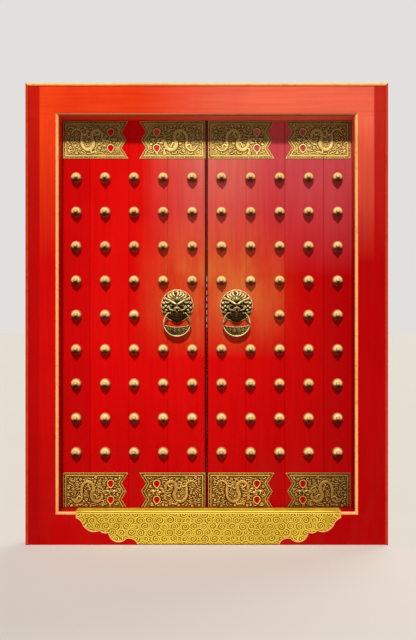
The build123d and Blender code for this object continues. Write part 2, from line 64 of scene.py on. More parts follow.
# Shaders
class Graph:
    """Tree of shading nodes that are added one at a time."""

    def __init__(self, tree):
        self.tree = tree

    def add(self, kind, settings=None, **inputs):
        """Adds a node with its settings and inputs, where an underscore stands for a space."""
        node = self.tree.nodes.new(kind)
        for key, value in (settings or {}).items():
            setattr(node, key, value)
        for key, value in inputs.items():
            self.set(node.inputs[key.replace("_", " ")], value)
        return node

    def set(self, socket, value):
        if isinstance(value, bpy.types.NodeSocket):
            self.tree.links.new(value, socket)
        else:
            socket.default_value = value

    def math(self, operation, first, second):
        node = self.add("ShaderNodeMath", {"operation": operation})
        self.set(node.inputs[0], first)
        self.set(node.inputs[1], second)
        return node.outputs[0]


class Shader(Graph):
    """Material whose colours are painted one over another."""

    def __init__(self, name, roughness, metallic=0.0, specular=0.5):
        self.material = bpy.data.materials.new(name)
        self.material.use_nodes = True
        super().__init__(self.material.node_tree)
        self.surface = self.tree.nodes["Principled BSDF"].inputs
        self.surface["Roughness"].default_value = roughness
        self.surface["Metallic"].default_value = metallic
        self.surface["Specular IOR Level"].default_value = specular
        coordinates = self.add("ShaderNodeTexCoord").outputs
        self.place = coordinates["Object"]
        self.axes = self.split(self.place)
        self.facing = self.split(coordinates["Normal"])

    def split(self, vector):
        """X, Y and Z of a vector."""
        return self.add("ShaderNodeSeparateXYZ", Vector=vector).outputs

    def noise(self, scale, detail, stretch=(1, 1, 1), roughness=0.5):
        """Noise from 0 to 1 over the object, with so many features a metre, stretched by axis."""
        mapped = self.add("ShaderNodeMapping", Vector=self.place, Scale=stretch).outputs["Vector"]
        texture = self.add("ShaderNodeTexNoise", Vector=mapped, Scale=scale, Detail=detail,
                           Roughness=roughness)
        return texture.outputs["Fac"]

    def range(self, value, low, high, to_low=0.0, to_high=1.0):
        """Value carried over from one range to another, and kept within it."""
        node = self.add("ShaderNodeMapRange", Value=value, From_Min=low, From_Max=high,
                        To_Min=to_low, To_Max=to_high)
        return node.outputs["Result"]

    def beside(self, x):
        """Distance to either side of an upright line."""
        return self.math("ABSOLUTE", self.math("SUBTRACT", self.axes["X"], x), 0)

    def mix(self, factor, first, second):
        """Colour between two, by a factor from 0 to 1."""
        node = self.add("ShaderNodeMix", {"data_type": "RGBA"})
        for number, value in ((0, factor), (6, first), (7, second)):
            self.set(node.inputs[number], value)
        return node.outputs[2]

    def ramp(self, factor, stops):
        """Colours at places from 0 to 1."""
        node = self.add("ShaderNodeValToRGB", Fac=factor)
        band = node.color_ramp
        while len(band.elements) < len(stops):
            band.elements.new(0.5)
        for element, (position, color) in zip(band.elements, stops):
            element.position = position
            element.color = color
        return node.outputs["Color"]

    def paint(self, tone, *shares):
        """Lays a colour over the last, by the product of its shares: each a value, or what range takes."""
        factor = None
        for share in shares:
            if isinstance(share, tuple):
                share = self.range(*share)
            factor = self.math("MULTIPLY", factor, share) if factor else share
        self.color = self.mix(factor, self.color, tone)

    def bump(self, *layers):
        """Bump from (height, distance in metres) layers, one over another."""
        normal = None
        for height, distance in layers:
            node = self.add("ShaderNodeBump", Height=height, Distance=distance, Strength=1.0)
            if normal:
                self.set(node.inputs["Normal"], normal)
            normal = node.outputs["Normal"]
        self.set(self.surface["Normal"], normal)

    def finish(self, roughness=None):
        """The material, in its last colour and with a roughness that may vary."""
        self.set(self.surface["Base Color"], self.color)
        if roughness:
            self.set(self.surface["Roughness"], roughness)
        return self.material


def rgb(red, green, blue):
    """Linear colour of a colour written on the usual 0 to 255 scale."""
    linear = []
    for value in (red, green, blue):
        share = value / 255
        linear.append(share / 12.92 if share <= 0.04045 else ((share + 0.055) / 1.055) ** 2.4)
    return (*linear, 1)


# Stretch of the grain along upright and level timber
UPRIGHT = (1, 1, 0.05)
LEVEL = (0.05, 1, 1)

# Places across the door, in metres from its middle: the seam and how far its painted shade reaches, the
# middle of the painted glow of light round the knockers, and where the painted shadow of the neighbouring
# columns on the frame begins, with half its blur
SEAM_X = -0.004
SEAM_SHADE = 0.015
GLOW_X = 0.08
COLUMN_SHADOW_X = 1.245
COLUMN_SHADOW_BLUR = 0.006

# Lower edge of the painted shadow of the head on the upper plates, in metres under their top, with half its
# blur
SHADOW_DROP = 0.154
SHADOW_BLUR = 0.008


def lacquer(name, main, faded, stretch, meeting=False, painted_lamplight=0.0, painted_glow=0.0, painted_glare=0.0):
    """Red lacquer over timber: fading in clouds, faint grain along the board, red darkening towards the
    bottom with dust low down, fine cracks, and painted shade deepening towards the right of the door. A
    meeting edge gets painted shade for the dark gap between the leaves; the upper frame may get painted
    lamplight with a painted shadow of the neighbouring columns on its outer strips, the upper leaves a
    painted glare, and the middle a painted glow of light."""
    shader = Shader(name, 0.42, specular=0.03)
    across, height = shader.axes["X"], shader.axes["Z"]
    clouds = shader.noise(1.3, 5, (1, 1, 0.6), 0.55)
    grain = shader.noise(38, 5, stretch, 0.6)
    fine = shader.noise(420, 3)
    streaks = shader.noise(4, 5, (1, 1, 0.35), 0.6)
    stain = shader.noise(5, 6, (1, 1, 0.3))
    cracks = shader.range(shader.noise(9, 8, stretch, 0.75), 0.72, 0.75)
    front = (shader.facing["Y"], -0.2, -0.8)
    shader.color = main
    shader.paint(faded, (clouds, 0.36, 0.66))
    # Painted shade: the red darkens towards the right of the door, standing in for less light there.
    shader.paint(rgb(160, 0, 3), (across, -0.1, 1.0, 0, 0.75))
    # Painted lamplight: the upper frame turns orange as if lit, except on its outer strips, which get a
    # painted shadow of the neighbouring columns, darker on the left.
    if painted_lamplight:
        column_shadow = shader.range(shader.beside(0), COLUMN_SHADOW_X - COLUMN_SHADOW_BLUR, COLUMN_SHADOW_X + COLUMN_SHADOW_BLUR)
        lit_orange = shader.mix(shader.range(across, -0.5, 0.1), rgb(228, 66, 20), rgb(228, 102, 74))
        shader.paint(lit_orange, (height, 2.1, 3.2), (column_shadow, 0, 1, 1, 0.16),
                     (clouds, 0.3, 0.6, painted_lamplight * 0.6, painted_lamplight))
        shader.paint(rgb(110, 0, 2), column_shadow, (across, -1.3, 1.3, 0.3, 0.04))
    # Painted glare: a rose reflection of light in streaks on the front of the upper leaves, mostly the
    # right.
    if painted_glare:
        glare_tone = shader.mix(shader.range(across, 0.2, 0.5), rgb(205, 107, 96), rgb(186, 74, 81))
        shader.paint(glare_tone, (across, -0.5, -0.05), (height, 2.0, 2.85), front,
                     (streaks, 0.3, 0.62, painted_glare * 0.7, painted_glare))
    # Painted light: an orange glow in streaks on the front of the leaves round the knockers.
    if painted_glow:
        shader.paint(rgb(200, 99, 48), (height, 1.38, 1.82), (height, 2.48, 2.05),
                     (shader.beside(GLOW_X), 0.64, 0.2), front,
                     (streaks, 0.34, 0.6, painted_glow * 0.3, painted_glow))
    shader.paint(rgb(122, 0, 2), (grain, 0.42, 0.75, 0, 0.2))
    # The red darkens towards the bottom.
    shader.paint(rgb(134, 0, 2), (height, 1.2, 0.15, 0, 0.42))
    shader.paint(rgb(140, 40, 28), (stain, 0.45, 0.8), (height, 0.75, 0.1, 0.06, 0.4))
    shader.paint(rgb(60, 2, 4), (cracks, 0, 1, 0, 0.6))
    # Painted shade along the seam, standing in for the dark gap between the leaves.
    if meeting:
        ragged = shader.math("ADD", shader.beside(SEAM_X), shader.range(stain, 0, 1, -0.003, 0.003))
        shader.paint(rgb(62, 0, 2), (ragged, SEAM_SHADE, SEAM_SHADE * 0.7, 0, 0.9))
    shader.bump((grain, 0.0009), (cracks, -0.0006), (fine, 0.00012))
    return shader.finish(shader.range(clouds, 0.2, 0.8, 0.34, 0.5))


def gilt(name, dark, body, bright, metallic, roughness, grime, underside_shade=0.0, red_reflection=False, shade_span=None):
    """Gilding: bright on worn crests, dark grime in hollows, mottled and finely pitted, with painted shade
    on undersides.
    Sides that slope away may take a painted reflection of the red leaf; painted shade thickens between two
    places along an axis, given as (axis, first, last, share)."""
    shader = Shader(name, roughness, metallic, specular=0.12)
    mottle = shader.noise(14, 5)
    patch = shader.noise(3.2, 4)
    speck = shader.noise(260, 4, roughness=0.7)
    level = shader.add("ShaderNodeAttribute", {"attribute_name": "wear"}).outputs["Fac"]
    for noise, depth in ((mottle, 0.16), (speck, 0.1)):
        level = shader.math("ADD", level, shader.range(noise, 0, 1, -depth, depth))
    shader.color = shader.ramp(level, [(0.0, dark), (0.34, dark), (0.5, body), (0.6, body), (0.8, bright)])
    shader.paint(dark, (patch, 0.45, 0.75, 0, grime))
    # Painted shade between two places along an axis.
    if shade_span:
        axis, first, last, share = shade_span
        shader.paint(rgb(48, 22, 4), (shader.axes[axis], first, last, 0, share))
    # Painted shade on undersides, darker the more they face down.
    if underside_shade:
        normal = shader.add("ShaderNodeNewGeometry").outputs["Normal"]
        shader.paint(dark, (shader.split(normal)["Z"], 0.04, -0.42, 0, underside_shade))
    # Painted reflection of the red leaf on sides that slope away from the front.
    if red_reflection:
        shader.paint(rgb(172, 58, 36), (shader.facing["Y"], -0.75, -0.2, 0, 0.85))
    shader.bump((speck, 0.0005), (mottle, 0.0012))
    return shader.finish(shader.range(mottle, 0.2, 0.8, roughness - 0.08, roughness + 0.14))


def gold_leaf(name, leaf, ground, worn):
    """Gold leaf on a timber bead, rubbed through to its ground in places."""
    shader = Shader(name, 0.45, 0.15, specular=0.25)
    rubbed = shader.noise(22, 6, roughness=0.7)
    patch = shader.noise(2.2, 3)
    shader.color = leaf
    shader.paint(ground, (rubbed, 0.52, 0.74, 0, worn))
    shader.paint(ground, (patch, 0.5, 0.8, 0, 0.4))
    shader.bump((rubbed, 0.0006))
    return shader.finish()


def forged_iron(name):
    """Iron with dark scale and rust."""
    shader = Shader(name, 0.62, 0.8)
    scale = shader.noise(60, 6, roughness=0.7)
    rust = shader.noise(18, 5)
    shader.color = rgb(38, 34, 32)
    shader.paint(rgb(72, 66, 60), (scale, 0.3, 0.7))
    shader.paint(rgb(104, 58, 32), (rust, 0.55, 0.75, 0, 0.8))
    shader.bump((scale, 0.0012))
    return shader.finish(shader.range(rust, 0.3, 0.8, 0.5, 0.8))


def cut_stone(name):
    """Grey stone with level marks of the chisel."""
    shader = Shader(name, 0.85, specular=0.25)
    body = shader.noise(9, 6, roughness=0.6)
    grit = shader.noise(240, 4, roughness=0.8)
    marks = shader.noise(30, 2, (1, 0.15, 1))
    shader.color = rgb(148, 144, 136)
    shader.paint(rgb(186, 181, 170), (body, 0.3, 0.7))
    shader.paint(rgb(96, 92, 88), (grit, 0.55, 0.8))
    shader.bump((body, 0.004), (marks, 0.003), (grit, 0.0009))
    return shader.finish()


def oiled_timber(name):
    """Dark timber with its rings and pores along X."""
    shader = Shader(name, 0.55, specular=0.3)
    rings = shader.noise(26, 6, (0.07, 1, 1), 0.6)
    pores = shader.noise(160, 4, (0.05, 1, 1))
    shader.color = rgb(72, 38, 22)
    shader.paint(rgb(128, 78, 44), (rings, 0.35, 0.68))
    shader.paint(rgb(44, 24, 16), (pores, 0.55, 0.75, 0, 0.6))
    shader.bump((rings, 0.0012), (pores, 0.0005))
    return shader.finish()


# Posts and beam take painted lamplight on their upper part and a painted shadow of the neighbouring columns
# on their outer strips.
post_red = lacquer("post_red", rgb(182, 3, 3), rgb(198, 8, 5), UPRIGHT, painted_lamplight=1.0)
beam_red = lacquer("beam_red", rgb(188, 3, 3), rgb(208, 14, 6), LEVEL, painted_lamplight=0.9)
# Leaves take a painted glare on their upper part, and the middle planks a painted glow of light round the
# knockers.
board_reds = [
    lacquer("stile_red", rgb(184, 2, 3), rgb(198, 4, 4), UPRIGHT, painted_glare=0.9),
    lacquer("plank_red_1", rgb(198, 3, 3), rgb(210, 9, 6), UPRIGHT, painted_glow=0.4, painted_glare=0.9),
    lacquer("plank_red_2", rgb(194, 2, 3), rgb(208, 8, 5), UPRIGHT, painted_glow=1.0, painted_glare=0.9),
    lacquer("plank_red_3", rgb(196, 3, 4), rgb(206, 9, 6), UPRIGHT, meeting=True, painted_glow=1.0, painted_glare=0.9),
]
sheet_gilt = gilt("sheet_gilt", rgb(126, 90, 0), rgb(186, 148, 14), rgb(240, 210, 82), 0.15, 0.42, 0.2)
# The upper plates take a painted shadow of the head over their upper part, the lower ones painted shade
# towards the right.
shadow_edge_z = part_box("left_upper_outer_plate")[1].z - SHADOW_DROP
upper_gilt = gilt("upper_gilt", rgb(120, 82, 8), rgb(214, 180, 84), rgb(255, 234, 160), 0.1, 0.42, 0.25,
                  shade_span=("Z", shadow_edge_z - SHADOW_BLUR, shadow_edge_z + SHADOW_BLUR, 0.6))
lower_gilt = gilt("lower_gilt", rgb(74, 32, 0), rgb(136, 90, 10), rgb(238, 196, 100), 0.15, 0.42, 0.4,
                  shade_span=("X", 0.45, 0.9, 0.5))
# Masks, rings and nails take painted shade on their undersides; the nails also a painted reflection of the
# red leaf on their sides.
cast_gilt = gilt("cast_gilt", rgb(40, 25, 4), rgb(104, 74, 20), rgb(255, 232, 162), 0.2, 0.3, 0.25, 0.92)
nail_gilt = gilt("nail_gilt", rgb(48, 20, 7), rgb(206, 146, 84), rgb(246, 212, 144), 0.1, 0.34, 0.1, 0.98,
                 red_reflection=True)
leaf_gold = gold_leaf("leaf_gold", rgb(246, 172, 104), rgb(190, 92, 40), 0.6)
dull_gold = gold_leaf("dull_gold", rgb(150, 62, 22), rgb(110, 18, 6), 0.7)
rubbed_gold = gold_leaf("rubbed_gold", rgb(190, 44, 20), rgb(176, 6, 6), 1.0)
iron = forged_iron("forged_iron")
stone = cut_stone("cut_stone")
timber = oiled_timber("oiled_timber")


# Meshes
def add_object(name, data):
    """New object in the scene."""
    thing = bpy.data.objects.new(name, data)
    bpy.context.scene.collection.objects.link(thing)
    return thing


def link(name, mesh, material, body, *stands_for, smooth_under=None):
    """Puts a mesh in the scene as a named piece that rides on a body in place of CAD nodes."""
    piece = add_object(name, mesh)
    mesh.materials.clear()
    mesh.materials.append(material)
    mesh.polygons.foreach_set("use_smooth", [True] * len(mesh.polygons))
    if smooth_under:
        mesh.set_sharp_from_angle(angle=math.radians(smooth_under))
    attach(piece, body)
    if stands_for:
        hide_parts(*stands_for)


def mesh_of(name, points, faces):
    """Mesh from points and faces."""
    mesh = bpy.data.meshes.new(name)
    mesh.from_pydata([tuple(point) for point in points], [], faces)
    mesh.validate()
    return mesh


class Clay:
    """Points and faces gathered from simple forms."""

    def __init__(self):
        self.points = []
        self.faces = []

    def rings(self, rings, closed=False, capped=True):
        """Skin over rings of as many points each; closed joins the last ring to the first."""
        start, count, total = len(self.points), len(rings[0]), len(rings)
        self.points.extend(tuple(point) for ring in rings for point in ring)
        for k in range(total if closed else total - 1):
            this, that = start + k * count, start + (k + 1) % total * count
            for i in range(count):
                j = (i + 1) % count
                self.faces.append((this + i, this + j, that + j, that + i))
        if capped and not closed:
            self.faces.append(tuple(reversed(range(start, start + count))))
            self.faces.append(tuple(range(len(self.points) - count, len(self.points))))

    def tube(self, path, radii, sides, closed=False):
        """Round tube along a path of points, with a radius for each point."""
        path = [Vector(point) for point in path]
        side = None
        rings = []
        for k, point in enumerate(path):
            before = path[k - 1] if k or closed else point
            after = path[(k + 1) % len(path)] if k + 1 < len(path) or closed else point
            along = (after - before).normalized()
            if side is None:
                side = along.orthogonal().normalized()
            side = (side - along * side.dot(along)).normalized()
            up = along.cross(side)
            rings.append([
                point + float(radii[k]) * (math.cos(a) * side + math.sin(a) * up)
                for a in (2 * math.pi * i / sides for i in range(sides))
            ])
        self.rings(rings, closed)

    def ball(self, centre, radii, turn=0.0, steps=12):
        """Ellipsoid with its radii along X, Y and Z, turned about the depth axis in degrees."""
        cosine, sine = math.cos(math.radians(turn)), math.sin(math.radians(turn))
        rings = []
        for k in range(1, steps):
            lift = math.cos(math.pi * k / steps)
            flat = math.sin(math.pi * k / steps)
            ring = []
            for i in range(2 * steps):
                angle = math.pi * i / steps
                x = radii[0] * flat * math.cos(angle)
                z = radii[2] * flat * math.sin(angle)
                ring.append((centre[0] + x * cosine - z * sine, centre[1] + radii[1] * lift,
                             centre[2] + x * sine + z * cosine))
            rings.append(ring)
        self.rings(rings)

    def mesh(self, name, scale=1.0):
        """Mesh of all forms gathered so far."""
        scaling = Matrix.Scale(scale, 4)
        return mesh_of(name, [scaling @ Vector(point) for point in self.points], self.faces)


def read(items, name, width, kind=float):
    """Array of a property of a mesh's vertices or edges, with a row for each."""
    values = np.empty(len(items) * width, kind)
    items.foreach_get(name, values)
    return values.reshape(-1, width)


def set_wear(mesh, rounds, reach, rule=None):
    """Writes how far each point stands out of its smoothed surroundings, as 0.5 for flat. A rule may
    change it by the places of the points in millimetres."""
    count = len(mesh.vertices)
    place = read(mesh.vertices, "co", 3)
    first, second = read(mesh.edges, "vertices", 2, int).T
    degree = np.bincount(first, minlength=count) + np.bincount(second, minlength=count)
    degree = np.maximum(degree, 1)
    soft = place.copy()
    for _ in range(rounds):
        total = np.empty_like(soft)
        for axis in range(3):
            total[:, axis] = np.bincount(first, soft[second, axis], count)
            total[:, axis] += np.bincount(second, soft[first, axis], count)
        soft = 0.5 * soft + 0.5 * total / degree[:, None]
    stand = np.einsum("ij,ij->i", place - soft, read(mesh.vertices, "normal", 3))
    wear = np.clip(0.5 + 0.5 * stand / reach, 0, 1)
    if rule:
        wear = np.clip(rule(*place.T / MM, wear), 0, 1)
    mesh.attributes.new("wear", "FLOAT", "POINT").data.foreach_set("value", wear)


def melted(mesh, name, voxel, rounds):
    """Overlapping forms run together into one skin and eased, as in a casting."""
    holder = add_object(name, mesh)
    remesh = holder.modifiers.new("cast", "REMESH")
    remesh.mode = "VOXEL"
    remesh.voxel_size = voxel
    smooth = holder.modifiers.new("ease", "SMOOTH")
    smooth.iterations = rounds
    smooth.factor = 0.5
    graph = bpy.context.evaluated_depsgraph_get()
    result = bpy.data.meshes.new_from_object(holder.evaluated_get(graph))
    bpy.data.objects.remove(holder)
    result.name = name
    return result


def mirror(mesh):
    """Turns a mesh into its mirror image across the middle of the door."""
    mesh.transform(Matrix.Scale(-1, 4, (1, 0, 0)))
    mesh.flip_normals()


# Drawing of reliefs: strokes that raise a field of heights over a grid of X and Z, in millimetres
def spline(knots, steps):
    """Smooth curve through knots."""
    knots = np.array(knots, float)
    padded = np.vstack([2 * knots[0] - knots[1], knots, 2 * knots[-1] - knots[-2]])
    curve = []
    for a, b, c, d in zip(padded, padded[1:], padded[2:], padded[3:]):
        for k in range(steps):
            t = k / steps
            curve.append(0.5 * (2 * b + (c - a) * t + (2 * a - 5 * b + 4 * c - d) * t**2
                                + (3 * b - a - 3 * c + d) * t**3))
    curve.append(knots[-1])
    return np.array(curve)


def spiral(x, z, outer, inner, turns, start, spin):
    """Points of a curl that winds in from its outer radius."""
    count = int(10 * turns) + 2
    points = []
    for k in range(count):
        share = k / (count - 1)
        radius = outer + share * (inner - outer)
        angle = math.radians(start) + spin * share * turns * 2 * math.pi
        points.append((x + radius * math.cos(angle), z + radius * math.sin(angle)))
    return points


def half_round(away):
    """Section of a ridge: 1 in its middle, 0 from a distance of 1."""
    return np.sqrt(np.clip(1 - away**2, 0, 1))


def from_segment(X, Z, start, end):
    """For each grid point, the share along a segment of the place nearest to it, and its distance."""
    (x0, z0), (x1, z1) = start, end
    dx, dz = x1 - x0, z1 - z0
    share = np.clip(((X - x0) * dx + (Z - z0) * dz) / max(dx * dx + dz * dz, 1e-9), 0, 1)
    return share, np.hypot(X - x0 - share * dx, Z - z0 - share * dz)


class Relief:
    """Field of heights with marks raised on it."""

    def __init__(self, X, Z, base):
        self.X = X
        self.Z = Z
        self.field = np.full(X.shape, base)

    def lift(self, where, crest):
        """Raises the field to a crest in part of the grid, unless it is higher already."""
        self.field = np.where(where, np.maximum(self.field, crest), self.field)

    def stroke(self, path, radii, height):
        """Rounded ridge along a path: radii at its two ends or at each point, and its crest's height."""
        if len(radii) == 2:
            radii = np.linspace(*radii, len(path))
        for start, end, first, last in zip(path, path[1:], radii, radii[1:]):
            share, away = from_segment(self.X, self.Z, start, end)
            radius = first + share * (last - first)
            crest = height * (0.35 + 0.65 * radius / max(radii)) * half_round(away / radius)
            self.lift(away < radius, crest)

    def dome(self, x, z, across, up, height, turn=0.0, floor=0.0):
        """Rounded boss, an ellipse on plan."""
        cosine, sine = math.cos(math.radians(turn)), math.sin(math.radians(turn))
        u = ((self.X - x) * cosine + (self.Z - z) * sine) / across
        v = (-(self.X - x) * sine + (self.Z - z) * cosine) / up
        away = np.hypot(u, v)
        self.lift(away < 1, floor + (height - floor) * half_round(away))


def from_line(X, Z, line):
    """For each grid point, its distance from a line, and how far along and aside of the line it lies."""
    nearest = np.full(X.shape, np.inf)
    along, aside = np.zeros(X.shape), np.zeros(X.shape)
    run = 0.0
    for start, end in zip(line, line[1:]):
        dx, dz = end[0] - start[0], end[1] - start[1]
        length = math.hypot(dx, dz)
        share, away = from_segment(X, Z, start, end)
        closer = away < nearest
        nearest = np.where(closer, away, nearest)
        along = np.where(closer, run + share * length, along)
        aside = np.where(closer, ((X - start[0]) * dz - (Z - start[1]) * dx) / length, aside)
        run += length
    return nearest, along, aside


def smooth_step(value, low, high):
    """0 to 1 from one value to another, easing in and out."""
    share = np.clip((value - low) / (high - low), 0, 1)
    return share * share * (3 - 2 * share)


def grid_mesh(name, place, keep=None):
    """Mesh over a grid of places (rows, columns, 3), leaving out faces where keep is false."""
    rows, columns = place.shape[:2]
    index = np.arange(rows * columns).reshape(rows, columns)
    faces = np.stack([index[:-1, :-1], index[:-1, 1:], index[1:, 1:], index[1:, :-1]], axis=-1)
    faces = faces.reshape(-1, 4)
    if keep is not None:
        faces = faces[keep.reshape(-1)]
    used = np.unique(faces)
    renumber = np.full(rows * columns, -1)
    renumber[used] = np.arange(len(used))
    points = place.reshape(-1, 3)[used]
    return mesh_of(name, points, [tuple(face) for face in renumber[faces].tolist()])


def joined(name, *meshes):
    """One mesh from several."""
    whole = bmesh.new()
    for mesh in meshes:
        whole.from_mesh(mesh)
        bpy.data.meshes.remove(mesh)
    result = bpy.data.meshes.new(name)
    whole.to_mesh(result)
    whole.free()
    return result


# Corner plates
PLATE_H = 282
PLATE_NOTCH = 50
PLATE_TIP = 14
NOTCH_RISE = 61
HOLE_BACK = 82
HOLE_R = 22
HOLE_SIDES = 40
HOLE_RIM = 7
RIM_H = 9.2
RIM_PROFILE = ((0, 0), (7.0, 0), (8.6, 1.2), (9.4, HOLE_RIM / 2), (8.6, HOLE_RIM - 1.2), (3, HOLE_RIM))
PLATE_STEP = 2.3
PLATE_BASE = 3.0
LIP_W = 4
LIP_H = 6.5
TACK_PITCH = 37
TACK_INSET = 9
TACK_R = 3.8
TACK_H = 7
BAND = (14, 25)
BAND_H = 5.2
FIELD_EDGE = 29
WISP_STEP = 7.5
WISP_GAP = 8.2
CLOUD_HEAD_R = 24

# Tries to place a curl, and to place wisps of at least so many points
CURL_TRIES = 70
WISP_TRIES = ((4, 1800), (2, 1200))

# Plates of a leaf: level, reach, seed of the clouds, and whether the dragon is drawn upside down
PLATE_KINDS = (
    ("lower", "outer", 11, False), ("lower", "inner", 12, True),
    ("upper", "outer", 13, True), ("upper", "inner", 14, False),
)

# Dragon: where it starts on a plate, and its drawing
DRAGON_START = 60
DRAGON_L = 278
SPINE = (
    (0, 96), (22, 66), (54, 62), (80, 88), (78, 132), (84, 182), (116, 214), (154, 204),
    (170, 164), (156, 118), (166, 78), (202, 66), (230, 92), (238, 128),
)
LEGS = ((16, 1, 1), (34, -1, -1), (46, 1, -1), (58, -1, 1))
CLAW_FAN = (-50, -12, 26, 62)
SKULL = (
    (250, 138, 24, 20, 15), (276, 146, 20, 12, 15, -10), (292, 136, 10, 9, 16), (262, 118, 18, 8, 12, 12),
)
HORNS = (
    ((244, 152), (226, 172), (204, 178), (190, 192)), ((238, 146), (214, 152), (194, 148)),
    ((240, 128), (216, 134), (200, 124)), ((246, 122), (232, 108), (236, 92)),
    ((290, 142), (302, 156), (292, 172)), ((288, 128), (300, 112), (290, 100)),
)
EYE = (262, 148)
SCALE_PITCH = 11
SCALE_W = 9
SCALE_CUT = 2.6


def plate_outline(length):
    """Corners of a plate from its straight end at 0 to its zigzag end, on its whole height."""
    middle = PLATE_H / 2
    notch = length - PLATE_NOTCH
    return [
        (0, 0), (length, 0), (notch, middle - NOTCH_RISE), (length - PLATE_TIP, middle),
        (notch, middle + NOTCH_RISE), (length, PLATE_H), (0, PLATE_H),
    ]


def plate_end(length, z):
    """How far the plate reaches at a height."""
    outline = plate_outline(length)[1:6]
    return np.interp(z, [point[1] for point in outline], [point[0] for point in outline])


def hole_radius(angle):
    """Edge of a hole: round above, drawn to a point below."""
    return HOLE_R * (1 + 0.34 * np.clip(-np.sin(angle), 0, 1) ** 7)


def draw_border(relief, outline):
    """Lip, row of tacks and plain raised band along a plate's edge."""
    outline = outline + outline[:1]
    away, _, _ = from_line(relief.X, relief.Z, outline)
    lip = LIP_H * half_round((away - LIP_W / 2) / (LIP_W / 2 + 0.8))
    band = BAND_H * smooth_step(away, BAND[0], BAND[0] + 4) * (1 - smooth_step(away, BAND[1] - 4, BAND[1]))
    relief.field = np.maximum(relief.field, np.maximum(lip, band))
    for (x0, z0), (x1, z1) in zip(outline, outline[1:]):
        length = math.hypot(x1 - x0, z1 - z0)
        count = max(1, round((length - 2 * TACK_INSET) / TACK_PITCH))
        inward = (-(z1 - z0) / length, (x1 - x0) / length)
        for k in range(count + 1):
            share = (TACK_INSET + (length - 2 * TACK_INSET) * k / count) / length
            x = x0 + share * (x1 - x0) + inward[0] * TACK_INSET
            z = z0 + share * (z1 - z0) + inward[1] * TACK_INSET
            relief.dome(x, z, TACK_R, TACK_R, TACK_H)
    return away


def scale_body(relief, spine, before):
    """Cuts rows of overlapping scales into a body laid over what was there before."""
    _, along, aside = from_line(relief.X, relief.Z, spine)
    step = along / SCALE_PITCH - 0.3 * np.cos(math.tau * aside / SCALE_W)
    cut = SCALE_CUT * (1 - step % 1) ** 2
    relief.field = np.where(relief.field > before + 2, relief.field - cut, relief.field)


def draw_dragon(relief, hole_x, upside):
    """Coiling dragon with its head towards the holes; upside turns the drawing over."""
    scale = (hole_x - HOLE_R - DRAGON_START) / DRAGON_L

    def at(x, z):
        """Place on the plate of a place in the drawing."""
        return (DRAGON_START + x * scale, PLATE_H - z if upside else z)

    spine = spline([at(*knot) for knot in SPINE], 5)
    count = len(spine)
    shares = np.linspace(0, 1, count)
    radii = 5 + 13 * np.sin(np.clip(shares * 1.25, 0, 1) * math.pi / 2) - 4 * shares**4
    ahead = np.gradient(spine, axis=0)
    ahead /= np.linalg.norm(ahead, axis=1)[:, None]
    across = np.stack([-ahead[:, 1], ahead[:, 0]], axis=1)
    for k in range(3, count - 4, 2):
        root = spine[k] + across[k] * radii[k] * 0.8
        tip = spine[k] + across[k] * (radii[k] + 9) - ahead[k] * 5
        relief.stroke([root, tip], (4.2, 2.0), 8)
    before = relief.field.copy()
    relief.stroke(spine, radii, 13)
    scale_body(relief, spine, before)
    for place, sweep, spin in LEGS:
        side = across[place] * sweep
        knee = spine[place] + side * 26 + ahead[place] * 8 * spin
        foot = knee + side * 12 - ahead[place] * 24 * spin
        relief.stroke(spline([spine[place], knee, foot], 4), (9, 5), 11)
        for fan in CLAW_FAN:
            heading = math.atan2(foot[1] - knee[1], foot[0] - knee[0]) + math.radians(fan)
            claw = foot + 15 * np.array([math.cos(heading), math.sin(heading)])
            relief.stroke([foot, claw], (3.6, 2.2), 10)
    for x, z, *form in SKULL:
        relief.dome(*at(x, z), *form)
    for horn in HORNS:
        relief.stroke(spline([at(*knot) for knot in horn], 4), (4.6, 2.3), 11)
    relief.dome(*at(*EYE), 5, 5, 18, floor=10)
    return spine, radii


def draw_clouds(relief, length, holes, spine, radii, seed):
    """Curled clouds and wisps in what room the dragon leaves, and a cloud head between the holes."""
    chance = random.Random(seed)
    inset = FIELD_EDGE + 3
    head_x, head_z = holes[0][0] + CLOUD_HEAD_R, PLATE_H / 2
    taken = [(x, z, radius) for (x, z), radius in zip(spine, radii)]
    taken += [(x, z, HOLE_R + HOLE_RIM + 3) for x, z in holes]
    taken.append((head_x, head_z, CLOUD_HEAD_R))

    def room(x, z, radius):
        """Whether a mark of this radius fits there."""
        if not inset < z < PLATE_H - inset or not inset < x < plate_end(length, z) - inset - 6:
            return False
        return all(math.hypot(x - tx, z - tz) > tr + radius for tx, tz, tr in taken)

    curls = []
    for _ in range(CURL_TRIES):
        radius = chance.choice((11, 9))
        x, z = chance.uniform(inset, length), chance.uniform(inset, PLATE_H - inset)
        if room(x, z, radius + 2):
            taken.append((x, z, radius + 2))
            curls.append((x, z, radius))
    for x, z, radius in curls:
        start, spin = chance.uniform(0, 360), chance.choice((-1, 1))
        relief.stroke(spiral(x, z, radius, 2, 1.5, start, spin), (3.6, 2.8), 9)
    for shortest, tries in WISP_TRIES:
        for _ in range(tries):
            x, z = chance.uniform(inset, length), chance.uniform(inset, PLATE_H - inset)
            heading = 0.5 * math.sin(x / 31 + seed) + 0.4 * math.cos(z / 23 + x / 60)
            heading += chance.choice((0, math.pi))
            bend = chance.uniform(-0.42, 0.42)
            path = []
            while len(path) < 11 and room(x, z, WISP_GAP / 2):
                path.append((x, z))
                x += WISP_STEP * math.cos(heading)
                z += WISP_STEP * math.sin(heading)
                heading += bend
                bend *= 1.25
            if len(path) >= shortest:
                taken.extend((px, pz, WISP_GAP / 2) for px, pz in path)
                relief.stroke(spline(path, 2), (4.3, 2.3), chance.uniform(7, 10.5))
    relief.dome(head_x + 2, head_z + 5, 21, 11, 12)
    for side in (-1, 1):
        relief.stroke(spiral(head_x + 2 + side * 14, head_z + 3, 9, 2, 1.2, 90, -side), (4, 3), 12)
    tail = [(head_x, head_z), (head_x + 4, head_z - 12), (head_x - 5, head_z - 24)]
    relief.stroke(spline(tail, 4), (6, 3.5), 11)


